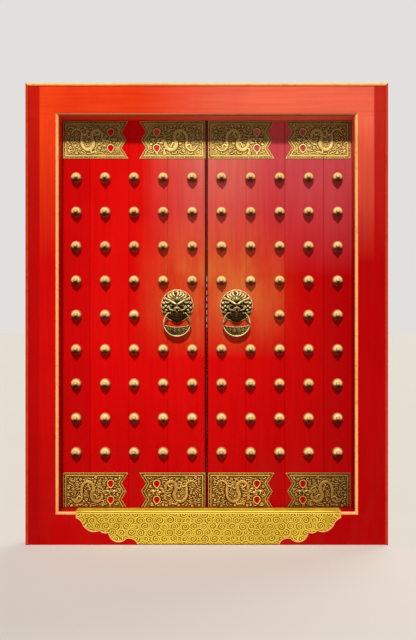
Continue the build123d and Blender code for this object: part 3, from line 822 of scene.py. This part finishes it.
def make_plate(name, length, seed, upside, low, high):
    """Plate drawn on its whole height, of which what the frame leaves in sight is kept, standing on 0."""
    marks = sorted({low, high, *(PLATE_H / 2 + s * NOTCH_RISE for s in (-1, 0, 1))})
    levels = []
    for start, end in zip(marks, marks[1:]):
        levels.extend(np.linspace(start, end, max(2, round((end - start) / PLATE_STEP)), endpoint=False))
    levels.append(high)
    columns = round(length / PLATE_STEP) + 1
    Z, share = np.meshgrid(levels, np.linspace(0, 1, columns), indexing="ij")
    X = share * plate_end(length, Z)
    inside = np.zeros(X.shape, bool)
    hole_x = length - PLATE_NOTCH - HOLE_BACK
    holes = [(hole_x, PLATE_H / 2 + side * NOTCH_RISE) for side in (-1, 1)]
    for x, z in holes:
        angle = np.arctan2(Z - z, X - x)
        away = np.hypot(X - x, Z - z)
        edge = hole_radius(angle)
        snap = np.abs(away - edge) < PLATE_STEP * 0.55
        X = np.where(snap, x + edge * np.cos(angle), X)
        Z = np.where(snap, z + edge * np.sin(angle), Z)
        inside |= (away < edge) & ~snap
    border = Relief(X, Z, PLATE_BASE)
    away = draw_border(border, plate_outline(length))
    relief = Relief(X, Z, PLATE_BASE)
    spine, radii = draw_dragon(relief, hole_x, upside)
    draw_clouds(relief, length, holes, spine, radii, seed)
    fade = smooth_step(away, BAND[1] - 3, FIELD_EDGE)
    height = np.maximum(border.field, PLATE_BASE + (relief.field - PLATE_BASE) * fade)
    for x, z in holes:
        off = np.hypot(X - x, Z - z) - hole_radius(np.arctan2(Z - z, X - x)) - HOLE_RIM / 2
        rim = RIM_H * half_round(off / (HOLE_RIM / 2 + 2))
        height = np.where(off < HOLE_RIM / 2, np.maximum(np.minimum(height, 6), rim), height)
    keep = ~(inside[:-1, :-1] | inside[:-1, 1:] | inside[1:, 1:] | inside[1:, :-1])
    face = grid_mesh(name, np.stack([X, -height, Z - low], axis=-1) * MM, keep)
    set_wear(face, 14, 1.6 * MM)
    sides = Clay()
    outline = [(x, np.clip(z, low, high) - low) for x, z in plate_outline(length)]
    sides.rings([[(x, -rise, z) for x, z in outline] for rise in (0, LIP_H * 0.75)], capped=False)
    for x, z in holes:
        rings = []
        for rise, outward in RIM_PROFILE:
            ring = []
            for k in range(HOLE_SIDES):
                angle = math.tau * k / HOLE_SIDES
                radius = hole_radius(angle) + outward
                ring.append((x + radius * math.cos(angle), -rise, z - low + radius * math.sin(angle)))
            rings.append(ring)
        sides.rings(rings, capped=False)
    edges = sides.mesh(name + "_edge", MM)
    set_wear(edges, 0, 1, lambda x, y, z, wear: 0.25 - y / 12)
    return joined(name, face, edges)


def place_plates():
    """Four plates on each leaf; the outer ones start at the jamb, the inner ones at the seam."""
    for level, reach, seed, upside in PLATE_KINDS:
        low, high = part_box(f"left_{level}_{reach}_plate")
        length = (high.x - low.x) / MM
        shown = (high.z - low.z) / MM
        if level == "lower":
            part, finish = (PLATE_H - shown, PLATE_H), lower_gilt
        else:
            part, finish = (0, shown), upper_gilt
        mesh = make_plate(f"{level}_{reach}_relief", length, seed, upside, *part)
        start = low.x
        if reach == "inner":
            mirror(mesh)
            start = high.x
        mesh.transform(Matrix.Translation((start, high.y, low.z)))
        twin = mesh.copy()
        mirror(twin)
        for (side, _), shape in zip(SIDES, (mesh, twin)):
            link(f"{side}_{level}_{reach}_relief", shape, finish, f"{side}_leaf",
                 f"{side}_{level}_{reach}_plate", smooth_under=50)


# Threshold cladding: its lower edge steps down in arcs from its end, by places in from there and heights
CLAD_STEP = 2.7
CLAD_ROWS = 102
CLAD_T = 2.2
CLAD_RIM_R = 3.7
CLAD_STEPS = ((0, 200), (47, 161), (74, 120), (174, 106), (242, 92), (373, 46), (459, 2))
CLAD_BULGES = ((27, 184), (57, 138), (119, 97), (208, 86), (309, 20), (413, 45))
CURL_PITCH = 16.0
CURL_SIZES = (39, 39, 35, 31, 25)
CURLS_APART = (72, 46)

# Section of the lap over the threshold, from its front and from its back edge
LAP_FRONT = ((-CLAD_T, 3), (-1, 3), (20, 2.4), (26, 2.9), (32, 2.4))
LAP_BACK = ((-12, 2.4), (-7, 2.9), (0, 2.4), (0, 0))
LAP_COLUMNS = 120
LAP_WEAR = 0.68


def arc_through(first, bulge, last, count):
    """Points of the arc through three points, without its last."""
    start, middle, end = (complex(*point) for point in (first, bulge, last))
    skew = (end - start) / (middle - start)
    centre = start + (middle - start) * (skew - abs(skew) ** 2) / (2j * skew.imag)
    sweep = cmath.phase((end - centre) / (start - centre))
    if sweep * cmath.phase((middle - centre) / (start - centre)) < 0:
        sweep -= math.copysign(math.tau, sweep)
    arc = [centre + (start - centre) * cmath.exp(1j * sweep * k / count) for k in range(count)]
    return [(point.real, point.imag) for point in arc]


def cladding_edge(half):
    """Lower edge of the cladding's right half, from its end down to the ground."""
    steps = [(half - x, z) for x, z in CLAD_STEPS]
    bulges = [(half - x, z) for x, z in CLAD_BULGES]
    edge = []
    for first, bulge, last in zip(steps, bulges, steps[1:]):
        edge.extend(arc_through(first, bulge, last, 12))
    edge.append(steps[-1])
    return edge


def waves(turns):
    """Narrow ridges, one to a turn."""
    return (0.5 + 0.5 * np.cos(math.tau * turns)) ** 1.4


def draw_cloudbank(X, Z):
    """Heights of curls of cloud in staggered rows that overlap, over slanting ripples."""
    chance = random.Random(5)
    slant = np.radians(38)
    across = (X * np.sin(slant) + Z * np.cos(slant)) / CURL_PITCH
    sway = 0.35 * np.sin(X / 61.0) + 0.3 * np.sin(Z / 43.0 + X / 170.0)
    field = 1.5 * waves(across + sway)
    curls = []
    for row in range(-1, 7):
        for column in range(-17, 18):
            size = chance.choice(CURL_SIZES)
            x = (column + 0.5 * (row % 2)) * CURLS_APART[0] + chance.uniform(-8, 8)
            z = row * CURLS_APART[1] + chance.uniform(-5, 5)
            curls.append((x, z, size, chance.choice((-1, 1)), chance.uniform(0, 1)))
    chance.shuffle(curls)
    for x, z, size, spin, phase in curls:
        away = np.hypot(X - x, (Z - z) * 1.1)
        inside = away < size
        away = away[inside]
        angle = np.arctan2(Z - z, X - x)[inside] / math.tau
        edge = size - away
        line = np.where(edge < 9, 0, waves(away / CURL_PITCH - spin * angle + phase))
        field[inside] = 0.5 + 1.7 * np.maximum(line, half_round((edge - 3.5) / 4.4))
    return field


def make_cladding():
    """Gilt sheet wrapped over the threshold: embossed front, rolled rim at its ends, plain lap on top."""
    low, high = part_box("threshold_cladding")
    middle = (low.x + high.x) / 2
    half = (high.x - low.x) / 2 / MM
    threshold_low, threshold_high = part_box("threshold")
    front = threshold_low.y
    top = threshold_high.z / MM
    edge = cladding_edge(half)
    edge_x, edge_z = np.array(edge)[::-1].T
    xs = np.linspace(-half, half, round(2 * half / CLAD_STEP) + 1)
    floor = np.interp(np.abs(xs), edge_x, edge_z)
    share = np.linspace(0, 1, CLAD_ROWS)[:, None]
    Z = floor + share * (top + 3 - floor)
    X = np.broadcast_to(xs, Z.shape)
    lips = [2.8 * half_round((top - drop - Z) / 4) for drop in (2, 15)]
    bank = np.where(Z > top - 20, np.maximum(*lips), draw_cloudbank(X, Z))
    outline = [(half, top + 60), *edge, *((-x, z) for x, z in reversed(edge)), (-half, top + 60)]
    away, _, _ = from_line(X, Z, outline + outline[:1])
    bank *= smooth_step(away, 5, 12)
    place = np.stack([X * MM + middle, front - (CLAD_T + bank) * MM, Z * MM], axis=-1)
    sheet = grid_mesh("cloud_sheet", place)
    section = [(front + y * MM, top + z) for y, z in LAP_FRONT]
    section += [(high.y + y * MM, top + z) for y, z in LAP_BACK]
    xs = np.linspace(low.x, high.x, LAP_COLUMNS)
    lap_sheet = grid_mesh("lap", np.array([[(x, y, z * MM) for x in xs] for y, z in section]))
    rolled = Clay()
    for side in (-1, 1):
        path = [(middle + side * (x - 3) * MM, front - 3.2 * MM, (z + 3) * MM)
                for x, z in [(half, top + 1), *edge]]
        rolled.tube(path, [CLAD_RIM_R * MM] * len(path), 8)
    link("threshold_cladding_rolled_edge", rolled.mesh("rolled_edge"), leaf_gold, "frame",
         "threshold_cladding", smooth_under=60)
    mesh = joined("threshold_cladding_embossed", sheet, lap_sheet)
    behind = (front + 2 * MM) / MM
    set_wear(mesh, 10, 0.6 * MM, lambda x, y, z, wear: np.where(y > behind, LAP_WEAR, wear))
    link("threshold_cladding_embossed", mesh, sheet_gilt, "frame", "threshold_cladding", smooth_under=60)


# Door nails: radius and stand over the leaf along the profile, and lean in degrees
NAIL_PROFILE = (
    (41.2, 0), (41.4, 4), (41.2, 12), (40.2, 22), (37.8, 32), (33.6, 41), (27.4, 49), (20.4, 54.4),
    (14.6, 56.8), (10.6, 58.6), (9.6, 61.5), (10.2, 65.5), (12.4, 69.5), (12.2, 73), (9.4, 76), (5.4, 77.2),
    (1.5, 77.4),
)
NAIL_SIDES = 24
NAIL_LEAN = 1.6


def nail_places(node):
    """Middles of the nails in a node, found from its faces' loose parts."""
    whole = bmesh.new()
    whole.from_mesh(nodes[node].data)
    bmesh.ops.remove_doubles(whole, verts=whole.verts, dist=0.1 * MM)
    left = set(whole.verts)
    places = set()
    while left:
        nail = [left.pop()]
        for vertex in nail:
            for edge in vertex.link_edges:
                other = edge.other_vert(vertex)
                if other in left:
                    left.remove(other)
                    nail.append(other)
        extents = [vertex.co.x for vertex in nail], [vertex.co.z for vertex in nail]
        places.add(tuple(round((min(extent) + max(extent)) / 2, 4) for extent in extents))
    whole.free()
    return sorted(places)


def make_nails():
    """Domed nails with a teat, each set a little askew."""
    for side, sign in SIDES:
        node = f"{side}_door_nails"
        leaf_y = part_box(node)[1].y
        chance = random.Random(29 + sign)
        shape = Clay()
        for x, z in nail_places(node):
            lean = Matrix.Identity(3)
            for axis in "XZ":
                angle = math.radians(chance.uniform(-NAIL_LEAN, NAIL_LEAN))
                lean = lean @ Matrix.Rotation(angle, 3, axis)
            rings = []
            for radius, height in NAIL_PROFILE:
                ring = []
                for k in range(NAIL_SIDES):
                    angle = math.tau * k / NAIL_SIDES
                    point = Vector((radius * math.cos(angle), -height, radius * math.sin(angle)))
                    point = lean @ point * MM
                    ring.append((x + point.x, leaf_y + min(point.y, 0), z + point.z))
                rings.append(ring)
            shape.rings(rings)
        mesh = shape.mesh(f"{side}_gilt_nails")
        set_wear(mesh, 5, 3.0 * MM)
        link(f"{side}_gilt_nails", mesh, nail_gilt, f"{side}_leaf", node, smooth_under=60)


# Lion masks
MASK_TOP = 125
MASK_VOXEL = 2.15
MASK_CURLS = 13
MANE_LOCKS = 11
CURL_START = -30
CURL_TURN = 20
HINGE_DROP = 56
HINGE_STAND = 48
POCKET_R = 15
JAW_HALF_W = 50
BROW = ((2, 88, 8), (14, 90, 14), (32, 84, 26), (52, 70, 40), (70, 52, 48), (80, 42, 42), (76, 42, 34))
BROW_RADII = (8, 9.5, 10, 9, 7.5, 5.5, 3.5)
LIP = ((10, 92, -34), (28, 84, -36), (46, 66, -32), (58, 52, -24))
LOCK_RADII = (3.2, 5.0, 6.4, 7.4, 8.0, 7.6, 5.6)

# Waves of the beard: height, stand over the leaf, half the width and radius
BEARD = ((-44, 82, 48, 9), (-60, 68, 46, 9), (-75, 54, 42, 8.5), (-90, 42, 34, 8), (-104, 31, 25, 7.5),
         (-116, 22, 15, 7))


def out(x, height, z):
    """Point on the mask: X and Z from its middle, height over the leaf."""
    return (x, -height, z)


def lion():
    """Lion's head with curls round it, modelled as overlapping forms."""
    clay = Clay()
    clay.ball(out(0, 4, 0), (118, 12, 118), steps=18)
    turns = np.linspace(0, math.tau, 64, endpoint=False)
    rim = [out(119 * math.cos(angle), 6, 119 * math.sin(angle)) for angle in turns]
    clay.tube(rim, [4.5] * len(rim), 8, closed=True)
    clay.ball(out(0, 14, 16), (90, 36, 84), steps=18)
    clay.ball(out(0, 40, 48), (60, 44, 40), steps=18)
    for k in range(MASK_CURLS):
        angle = math.radians(CURL_START + k * CURL_TURN)
        x, z = 101 * math.cos(angle), 101 * math.sin(angle)
        clay.ball(out(x, 14, z), (16, 15, 16), steps=10)
        curl = spiral(x, z, 12, 2, 1.6, math.degrees(angle), 1 if x > 0 else -1)
        clay.tube([out(cx, 24 + 7 * i / len(curl), cz) for i, (cx, cz) in enumerate(curl)],
                  np.linspace(3.6, 3.2, len(curl)), 7)
    for k in range(MANE_LOCKS):
        angle = math.radians(8 + k * 164 / (MANE_LOCKS - 1))
        lean = 0.12 * (1 if k > MANE_LOCKS // 2 else -1)
        lock = []
        for share in np.linspace(0, 1, len(LOCK_RADII)):
            radius = 54 + share * 34
            bend = angle + lean * math.sin(share * math.pi)
            lock.append(out(radius * math.cos(bend), 70 - 38 * share**1.3, 20 + radius * math.sin(bend)))
        clay.tube(lock, LOCK_RADII, 8)
    clay.ball(out(0, 74, 52), (13, 11, 17))
    for side in (-1, 1):
        clay.ball(out(side * 26, 70, 40), (15, 12, 13), 25 * side)
        clay.tube([out(side * x, y, z) for x, y, z in BROW], BROW_RADII, 10)
        clay.ball(out(side * 36, 50, 2), (15, 15, 12))
        lid = spiral(side * 36, 2, 14, 13, 0.95, 20, side)
        clay.tube([out(x, 56, z) for x, z in lid], [3.0] * len(lid), 7)
        clay.ball(out(side * 36, 65, 2), (5, 4, 5), steps=8)
        clay.ball(out(side * 63, 34, -14), (17, 20, 14))
        cheek = spiral(62, -12, 11, 2, 1.4, 120, -1)
        clay.tube([out(side * x, 50, z) for x, z in cheek], np.linspace(3.4, 2.8, len(cheek)), 7)
        clay.ball(out(side * 84, 26, -4), (13, 14, 13))
        clay.ball(out(side * 80, 22, -34), (13, 14, 13))
        clay.ball(out(side * 15, 86, -22), (10, 11, 8))
        clay.tube([out(side * x, y, z) for x, y, z in LIP], (6, 8, 7, 4), 9)
    clay.tube([out(0, 76, 12), out(0, 86, 0), out(0, 94, -14)], (8, 9, 11), 10)
    clay.ball(out(0, 93, -18), (19, 13, 11))
    clay.ball(out(0, 22, -66), (54, 30, 56), steps=16)
    for height, stand, half, thick in BEARD:
        wave = []
        for share in np.linspace(-1, 1, 19):
            lobe = 5 * abs(math.sin(share * math.pi * 1.5))
            wave.append(out(half * share, stand - 20 * share**2, height + lobe + 6 * share**2 - 4))
        clay.tube(wave, [thick] * len(wave), 8)
    return clay


def fit_casting(mesh):
    """Pushes the casting back from the way of the ring's bends at the corners of the mouth, and flattens
    what would sink into the leaf."""
    for vertex in mesh.vertices:
        y, z = vertex.co.y + HINGE_STAND * MM, vertex.co.z + HINGE_DROP * MM
        away = math.hypot(y, z)
        if abs(vertex.co.x) >= (JAW_HALF_W - 2) * MM and away < POCKET_R * MM:
            push = POCKET_R * MM / max(away, 1e-6)
            vertex.co.y = y * push - HINGE_STAND * MM
            vertex.co.z = z * push - HINGE_DROP * MM
        vertex.co.y = min(vertex.co.y, 0)


def mask_wear_and_shade(x, y, z, wear):
    """Wear from the relief, with painted light on the crown and forehead and painted shade on the mouth and
    chin.
    """
    return 0.43 + 1.6 * (wear - 0.5) + 0.09 * smooth_step(z, 0, 50) - 0.07 * smooth_step(-z, 22, 50)


# Knocker rings
RING_R = 99.5
RING_BAR = 6.6
RING_DROP = 75
RING_VOXEL = 1.6
SPINDLE_R = 5.8
WEB_HALF_W = 88
WEB_HALF_T = 2.1
SCROLL_DEPTH = 2.2

# Scrolls of the crescent: X, Z, radius, start in degrees and spin; and the curve under them
SCROLLS = ((22, -60, 16, 100, 1), (51, -50, 14, 20, -1), (74, -34, 9, 60, 1))
SWEEP = ((3, -90), (34, -80), (62, -62), (80, -42))


def ring_shape():
    """Ring on its spindle, with a scrolled crescent in its lower part, about the ring's middle."""
    clay = Clay()
    half = math.sqrt(RING_R**2 - RING_DROP**2)
    start = math.atan2(half, RING_DROP)
    turns = np.linspace(start, math.tau - start, 90)
    hoop = [(RING_R * math.sin(angle), 0, RING_R * math.cos(angle)) for angle in turns]
    radii = [RING_BAR - 0.9 * max(0, math.cos(angle)) for angle in turns]
    path = [(half - 14, 0, RING_DROP), *hoop, (14 - half, 0, RING_DROP)]
    clay.tube(path, [SPINDLE_R, *radii, SPINDLE_R], 14)
    clay.tube([(10 - half, 0, RING_DROP), (half - 10, 0, RING_DROP)], [SPINDLE_R] * 2, 14)
    web = []
    for x in np.linspace(-WEB_HALF_W, WEB_HALF_W, 23):
        floor = -math.sqrt(RING_R**2 - x * x)
        crown = max(-30 + 14 * (x / WEB_HALF_W) ** 2, floor + 2)
        web.append([(x, -WEB_HALF_T, floor), (x, WEB_HALF_T, floor), (x, WEB_HALF_T, crown),
                    (x, -WEB_HALF_T, crown)])
    clay.rings(web)

    def scroll(line, thick, thin):
        """Tapering bead along a line on both sides of the crescent."""
        for depth in (-SCROLL_DEPTH, SCROLL_DEPTH):
            clay.tube([(x, depth, z) for x, z in line], np.linspace(thick, thin, len(line)), 7)

    for side in (-1, 1):
        for x, z, radius, begin, spin in SCROLLS:
            begin = begin if side > 0 else 180 - begin
            scroll(spiral(side * x, z, radius, 2.5, 1.5, begin, side * spin), 3.4, 2.6)
        scroll([(side * x, z) for x, z in spline(SWEEP, 5)], 3.2, 2.4)
    clay.ball((0, 0, -RING_R - 1), (7, 6.6, 6), steps=10)
    return clay


def ring_wear_and_light(x, y, z, wear):
    """Hoop brighter towards the bottom, polished by hands and with a painted highlight; crescent dull, and
    a little darker towards the bottom with painted shade.
    """
    on_hoop = smooth_step(np.hypot(x, z), RING_R - 5, RING_R)
    bottom = smooth_step(-z, 10, 80)
    return 0.5 + 1.3 * (wear - 0.5) - 0.1 * bottom + on_hoop * (0.02 + 0.55 * bottom)


def make_knockers():
    """Lion mask and ring on each leaf."""
    mask_low, mask_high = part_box("left_lion_mask")
    centre_x = abs(mask_low.x + mask_high.x) / 2
    centre_z = mask_high.z - MASK_TOP * MM
    head = melted(lion().mesh("lion", MM), "lion_head", MASK_VOXEL * MM, 2)
    fit_casting(head)
    set_wear(head, 12, 1.8 * MM, mask_wear_and_shade)
    loop = melted(ring_shape().mesh("ring", MM), "ring_loop", RING_VOXEL * MM, 2)
    set_wear(loop, 8, 1.2 * MM, ring_wear_and_light)
    for side, sign in SIDES:
        shape = head.copy()
        shape.transform(Matrix.Translation((sign * centre_x, mask_high.y, centre_z)))
        link(f"{side}_lion_casting", shape, cast_gilt, f"{side}_leaf", f"{side}_lion_mask")
        shape = loop.copy()
        shape.transform(Matrix.Translation((sign * centre_x, mask_high.y - HINGE_STAND * MM,
                                            centre_z - (HINGE_DROP + RING_DROP) * MM)))
        link(f"{side}_ring_casting", shape, cast_gilt, f"{side}_ring", f"{side}_knocker_ring")


# Beads
BEAD_R = 12
BEAD_SIDES = 10
BEAD_STEPS = 40
BEAD_FINISHES = {
    "left_opening_bead": leaf_gold, "right_opening_bead": leaf_gold, "top_opening_bead": dull_gold,
    "left_border_bead": rubbed_gold, "right_border_bead": rubbed_gold, "top_border_bead": leaf_gold,
}


def make_beads():
    """Half-round gilt beads with mitred ends, in place of the plain ones."""
    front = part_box("threshold")[0].y
    width = BEAD_R * 2 * MM
    for node, finish in BEAD_FINISHES.items():
        low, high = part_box(node)
        opening = "opening" in node
        first, last = [], []
        for k in range(BEAD_SIDES + 1):
            angle = math.pi * k / BEAD_SIDES
            across = (0.5 - 0.5 * math.cos(angle)) * width
            depth = front - BEAD_R * MM * math.sin(angle)
            if node.startswith("top"):
                mitre = width - across
                first.append((low.x + mitre, depth, low.z + across))
                last.append((high.x - mitre, depth, low.z + across))
            else:
                mitre = width - across if node.startswith("right") == opening else across
                first.append((low.x + across, depth, low.z + mitre * opening))
                last.append((low.x + across, depth, high.z - mitre))
        first, last = np.array(first), np.array(last)
        clay = Clay()
        clay.rings([first + k / BEAD_STEPS * (last - first) for k in range(BEAD_STEPS + 1)])
        link(f"{node}_gilt", clay.mesh(node + "_gilt"), finish, "frame", node, smooth_under=50)


# Meeting edges of the leaves, bowed so that light shows between them only here and there
EDGE_ROWS = 300
EDGE_INSET = 4
EDGE_FRONT = 6
EDGE_BACK = 70
EDGE_SHUT = 1.94
EDGE_OPEN = 0.6
EDGE_BOW = 0.06
EDGE_SINK = 1.0

# Slits of light in the seam, in metres: heights of the lowest and highest, and half their lengths
SLITS = 8
SLITS_LOW = 1.63
SLITS_HIGH = 1.99
SLIT_HALF = (0.012, 0.022)


def make_meeting_edges():
    """Strip on the edge of each leaf that leaves slits of light in the seam."""
    chance = random.Random(3)
    slits = [(SLITS_LOW + k * (SLITS_HIGH - SLITS_LOW) / (SLITS - 1), chance.uniform(*SLIT_HALF))
             for k in range(SLITS)]
    for side, sign in SIDES:
        low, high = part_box(f"{side}_plank_3")
        edge = high.x if sign < 0 else low.x
        inner = edge + sign * EDGE_SINK * MM
        front, back = low.y + EDGE_FRONT * MM, low.y + EDGE_BACK * MM
        rings = []
        for z in np.linspace(low.z + EDGE_INSET * MM, high.z - EDGE_INSET * MM, EDGE_ROWS):
            shut = EDGE_SHUT - EDGE_BOW * math.sin(z * 9) ** 2
            if any(abs(z - middle) < half for middle, half in slits):
                shut = EDGE_OPEN
            face = edge - sign * shut * MM
            rings.append([(inner, front, z), (face, front + 2 * MM, z), (face, back - 2 * MM, z),
                          (inner, back, z)])
        clay = Clay()
        clay.rings(rings)
        link(f"{side}_meeting_edge", clay.mesh(f"{side}_meeting_edge"), board_reds[3], f"{side}_leaf",
             smooth_under=30)


# Finishes of the pieces kept from the CAD model, by a part of the name; the last that fits is taken
NODE_FINISHES = {
    "threshold": beam_red, "head": beam_red, "pivot_beam": beam_red, "jamb": post_red, "spikes": iron,
    "pivot_block": stone, "sockets": iron, "bushes": iron, "bead": leaf_gold, "stile": board_reds[0],
    "plank_1": board_reds[1], "plank_2": board_reds[2], "plank_3": board_reds[3], "batten": beam_red,
    "pivots": iron, "fixing": iron, "keeper": iron, "bolt": timber,
}


def dress_nodes():
    """Gives each piece kept from the CAD model its finish."""
    for name, node in nodes.items():
        fitting = [material for part, material in NODE_FINISHES.items() if part in name]
        node.data.materials.clear()
        if fitting:
            node.data.materials.append(fitting[-1])


# Stage
def make_stage():
    """Pale floor, pale surroundings, a soft key light from high in front and a weak fill from behind."""
    shader = Shader("pale_floor", 0.9, specular=0.1)
    shader.color = rgb(213, 209, 202)
    shader.paint(rgb(216, 212, 205), shader.noise(0.7, 3))
    corners = [(x * FLOOR_REACH, y * FLOOR_REACH, 0) for x, y in ((-1, -1), (1, -1), (1, 1), (-1, 1))]
    mesh = mesh_of("floor", corners, [(0, 1, 2, 3)])
    mesh.materials.append(shader.finish())
    plane = add_object("floor", mesh)

    world = bpy.data.worlds.new("studio")
    bpy.context.scene.world = world
    world.use_nodes = True
    graph = Graph(world.node_tree)
    graph.tree.nodes.clear()
    rays = graph.add("ShaderNodeLightPath")
    seen = graph.math("MAXIMUM", rays.outputs["Is Camera Ray"], rays.outputs["Is Glossy Ray"])
    seen = graph.math("MAXIMUM", seen, rays.outputs["Is Transmission Ray"])
    blend = graph.add("ShaderNodeMixShader", Fac=seen)
    for number, tint, strength in ((1, AMBIENT_TINT, AMBIENT), (2, PALE, 1.0)):
        background = graph.add("ShaderNodeBackground", Color=tint, Strength=strength)
        graph.set(blend.inputs[number], background.outputs[0])
    graph.add("ShaderNodeOutputWorld", Surface=blend.outputs[0])

    for name, energy, spread, elevation, turn in LAMPS:
        light = bpy.data.lights.new(name, "SUN")
        light.energy = energy
        light.angle = math.radians(spread)
        light.color = LAMP_TINT
        lamp = add_object(name, light)
        lamp.rotation_euler = (math.radians(90 - elevation), 0, math.radians(turn))


def make_camera():
    """Camera square on to the door, at the eye level of someone standing."""
    data = bpy.data.cameras.new("camera")
    data.lens = CAMERA_LENS
    data.shift_y = CAMERA_SHIFT_Y
    camera = add_object("camera", data)
    camera.location = CAMERA_PLACE
    camera.rotation_euler = (math.radians(90), 0, 0)
    bpy.context.scene.camera = camera


def main():
    bpy.context.scene.view_settings.view_transform = "Standard"
    make_camera()
    make_stage()
    dress_nodes()
    make_beads()
    make_nails()
    make_meeting_edges()
    place_plates()
    make_cladding()
    make_knockers()
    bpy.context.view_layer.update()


main()
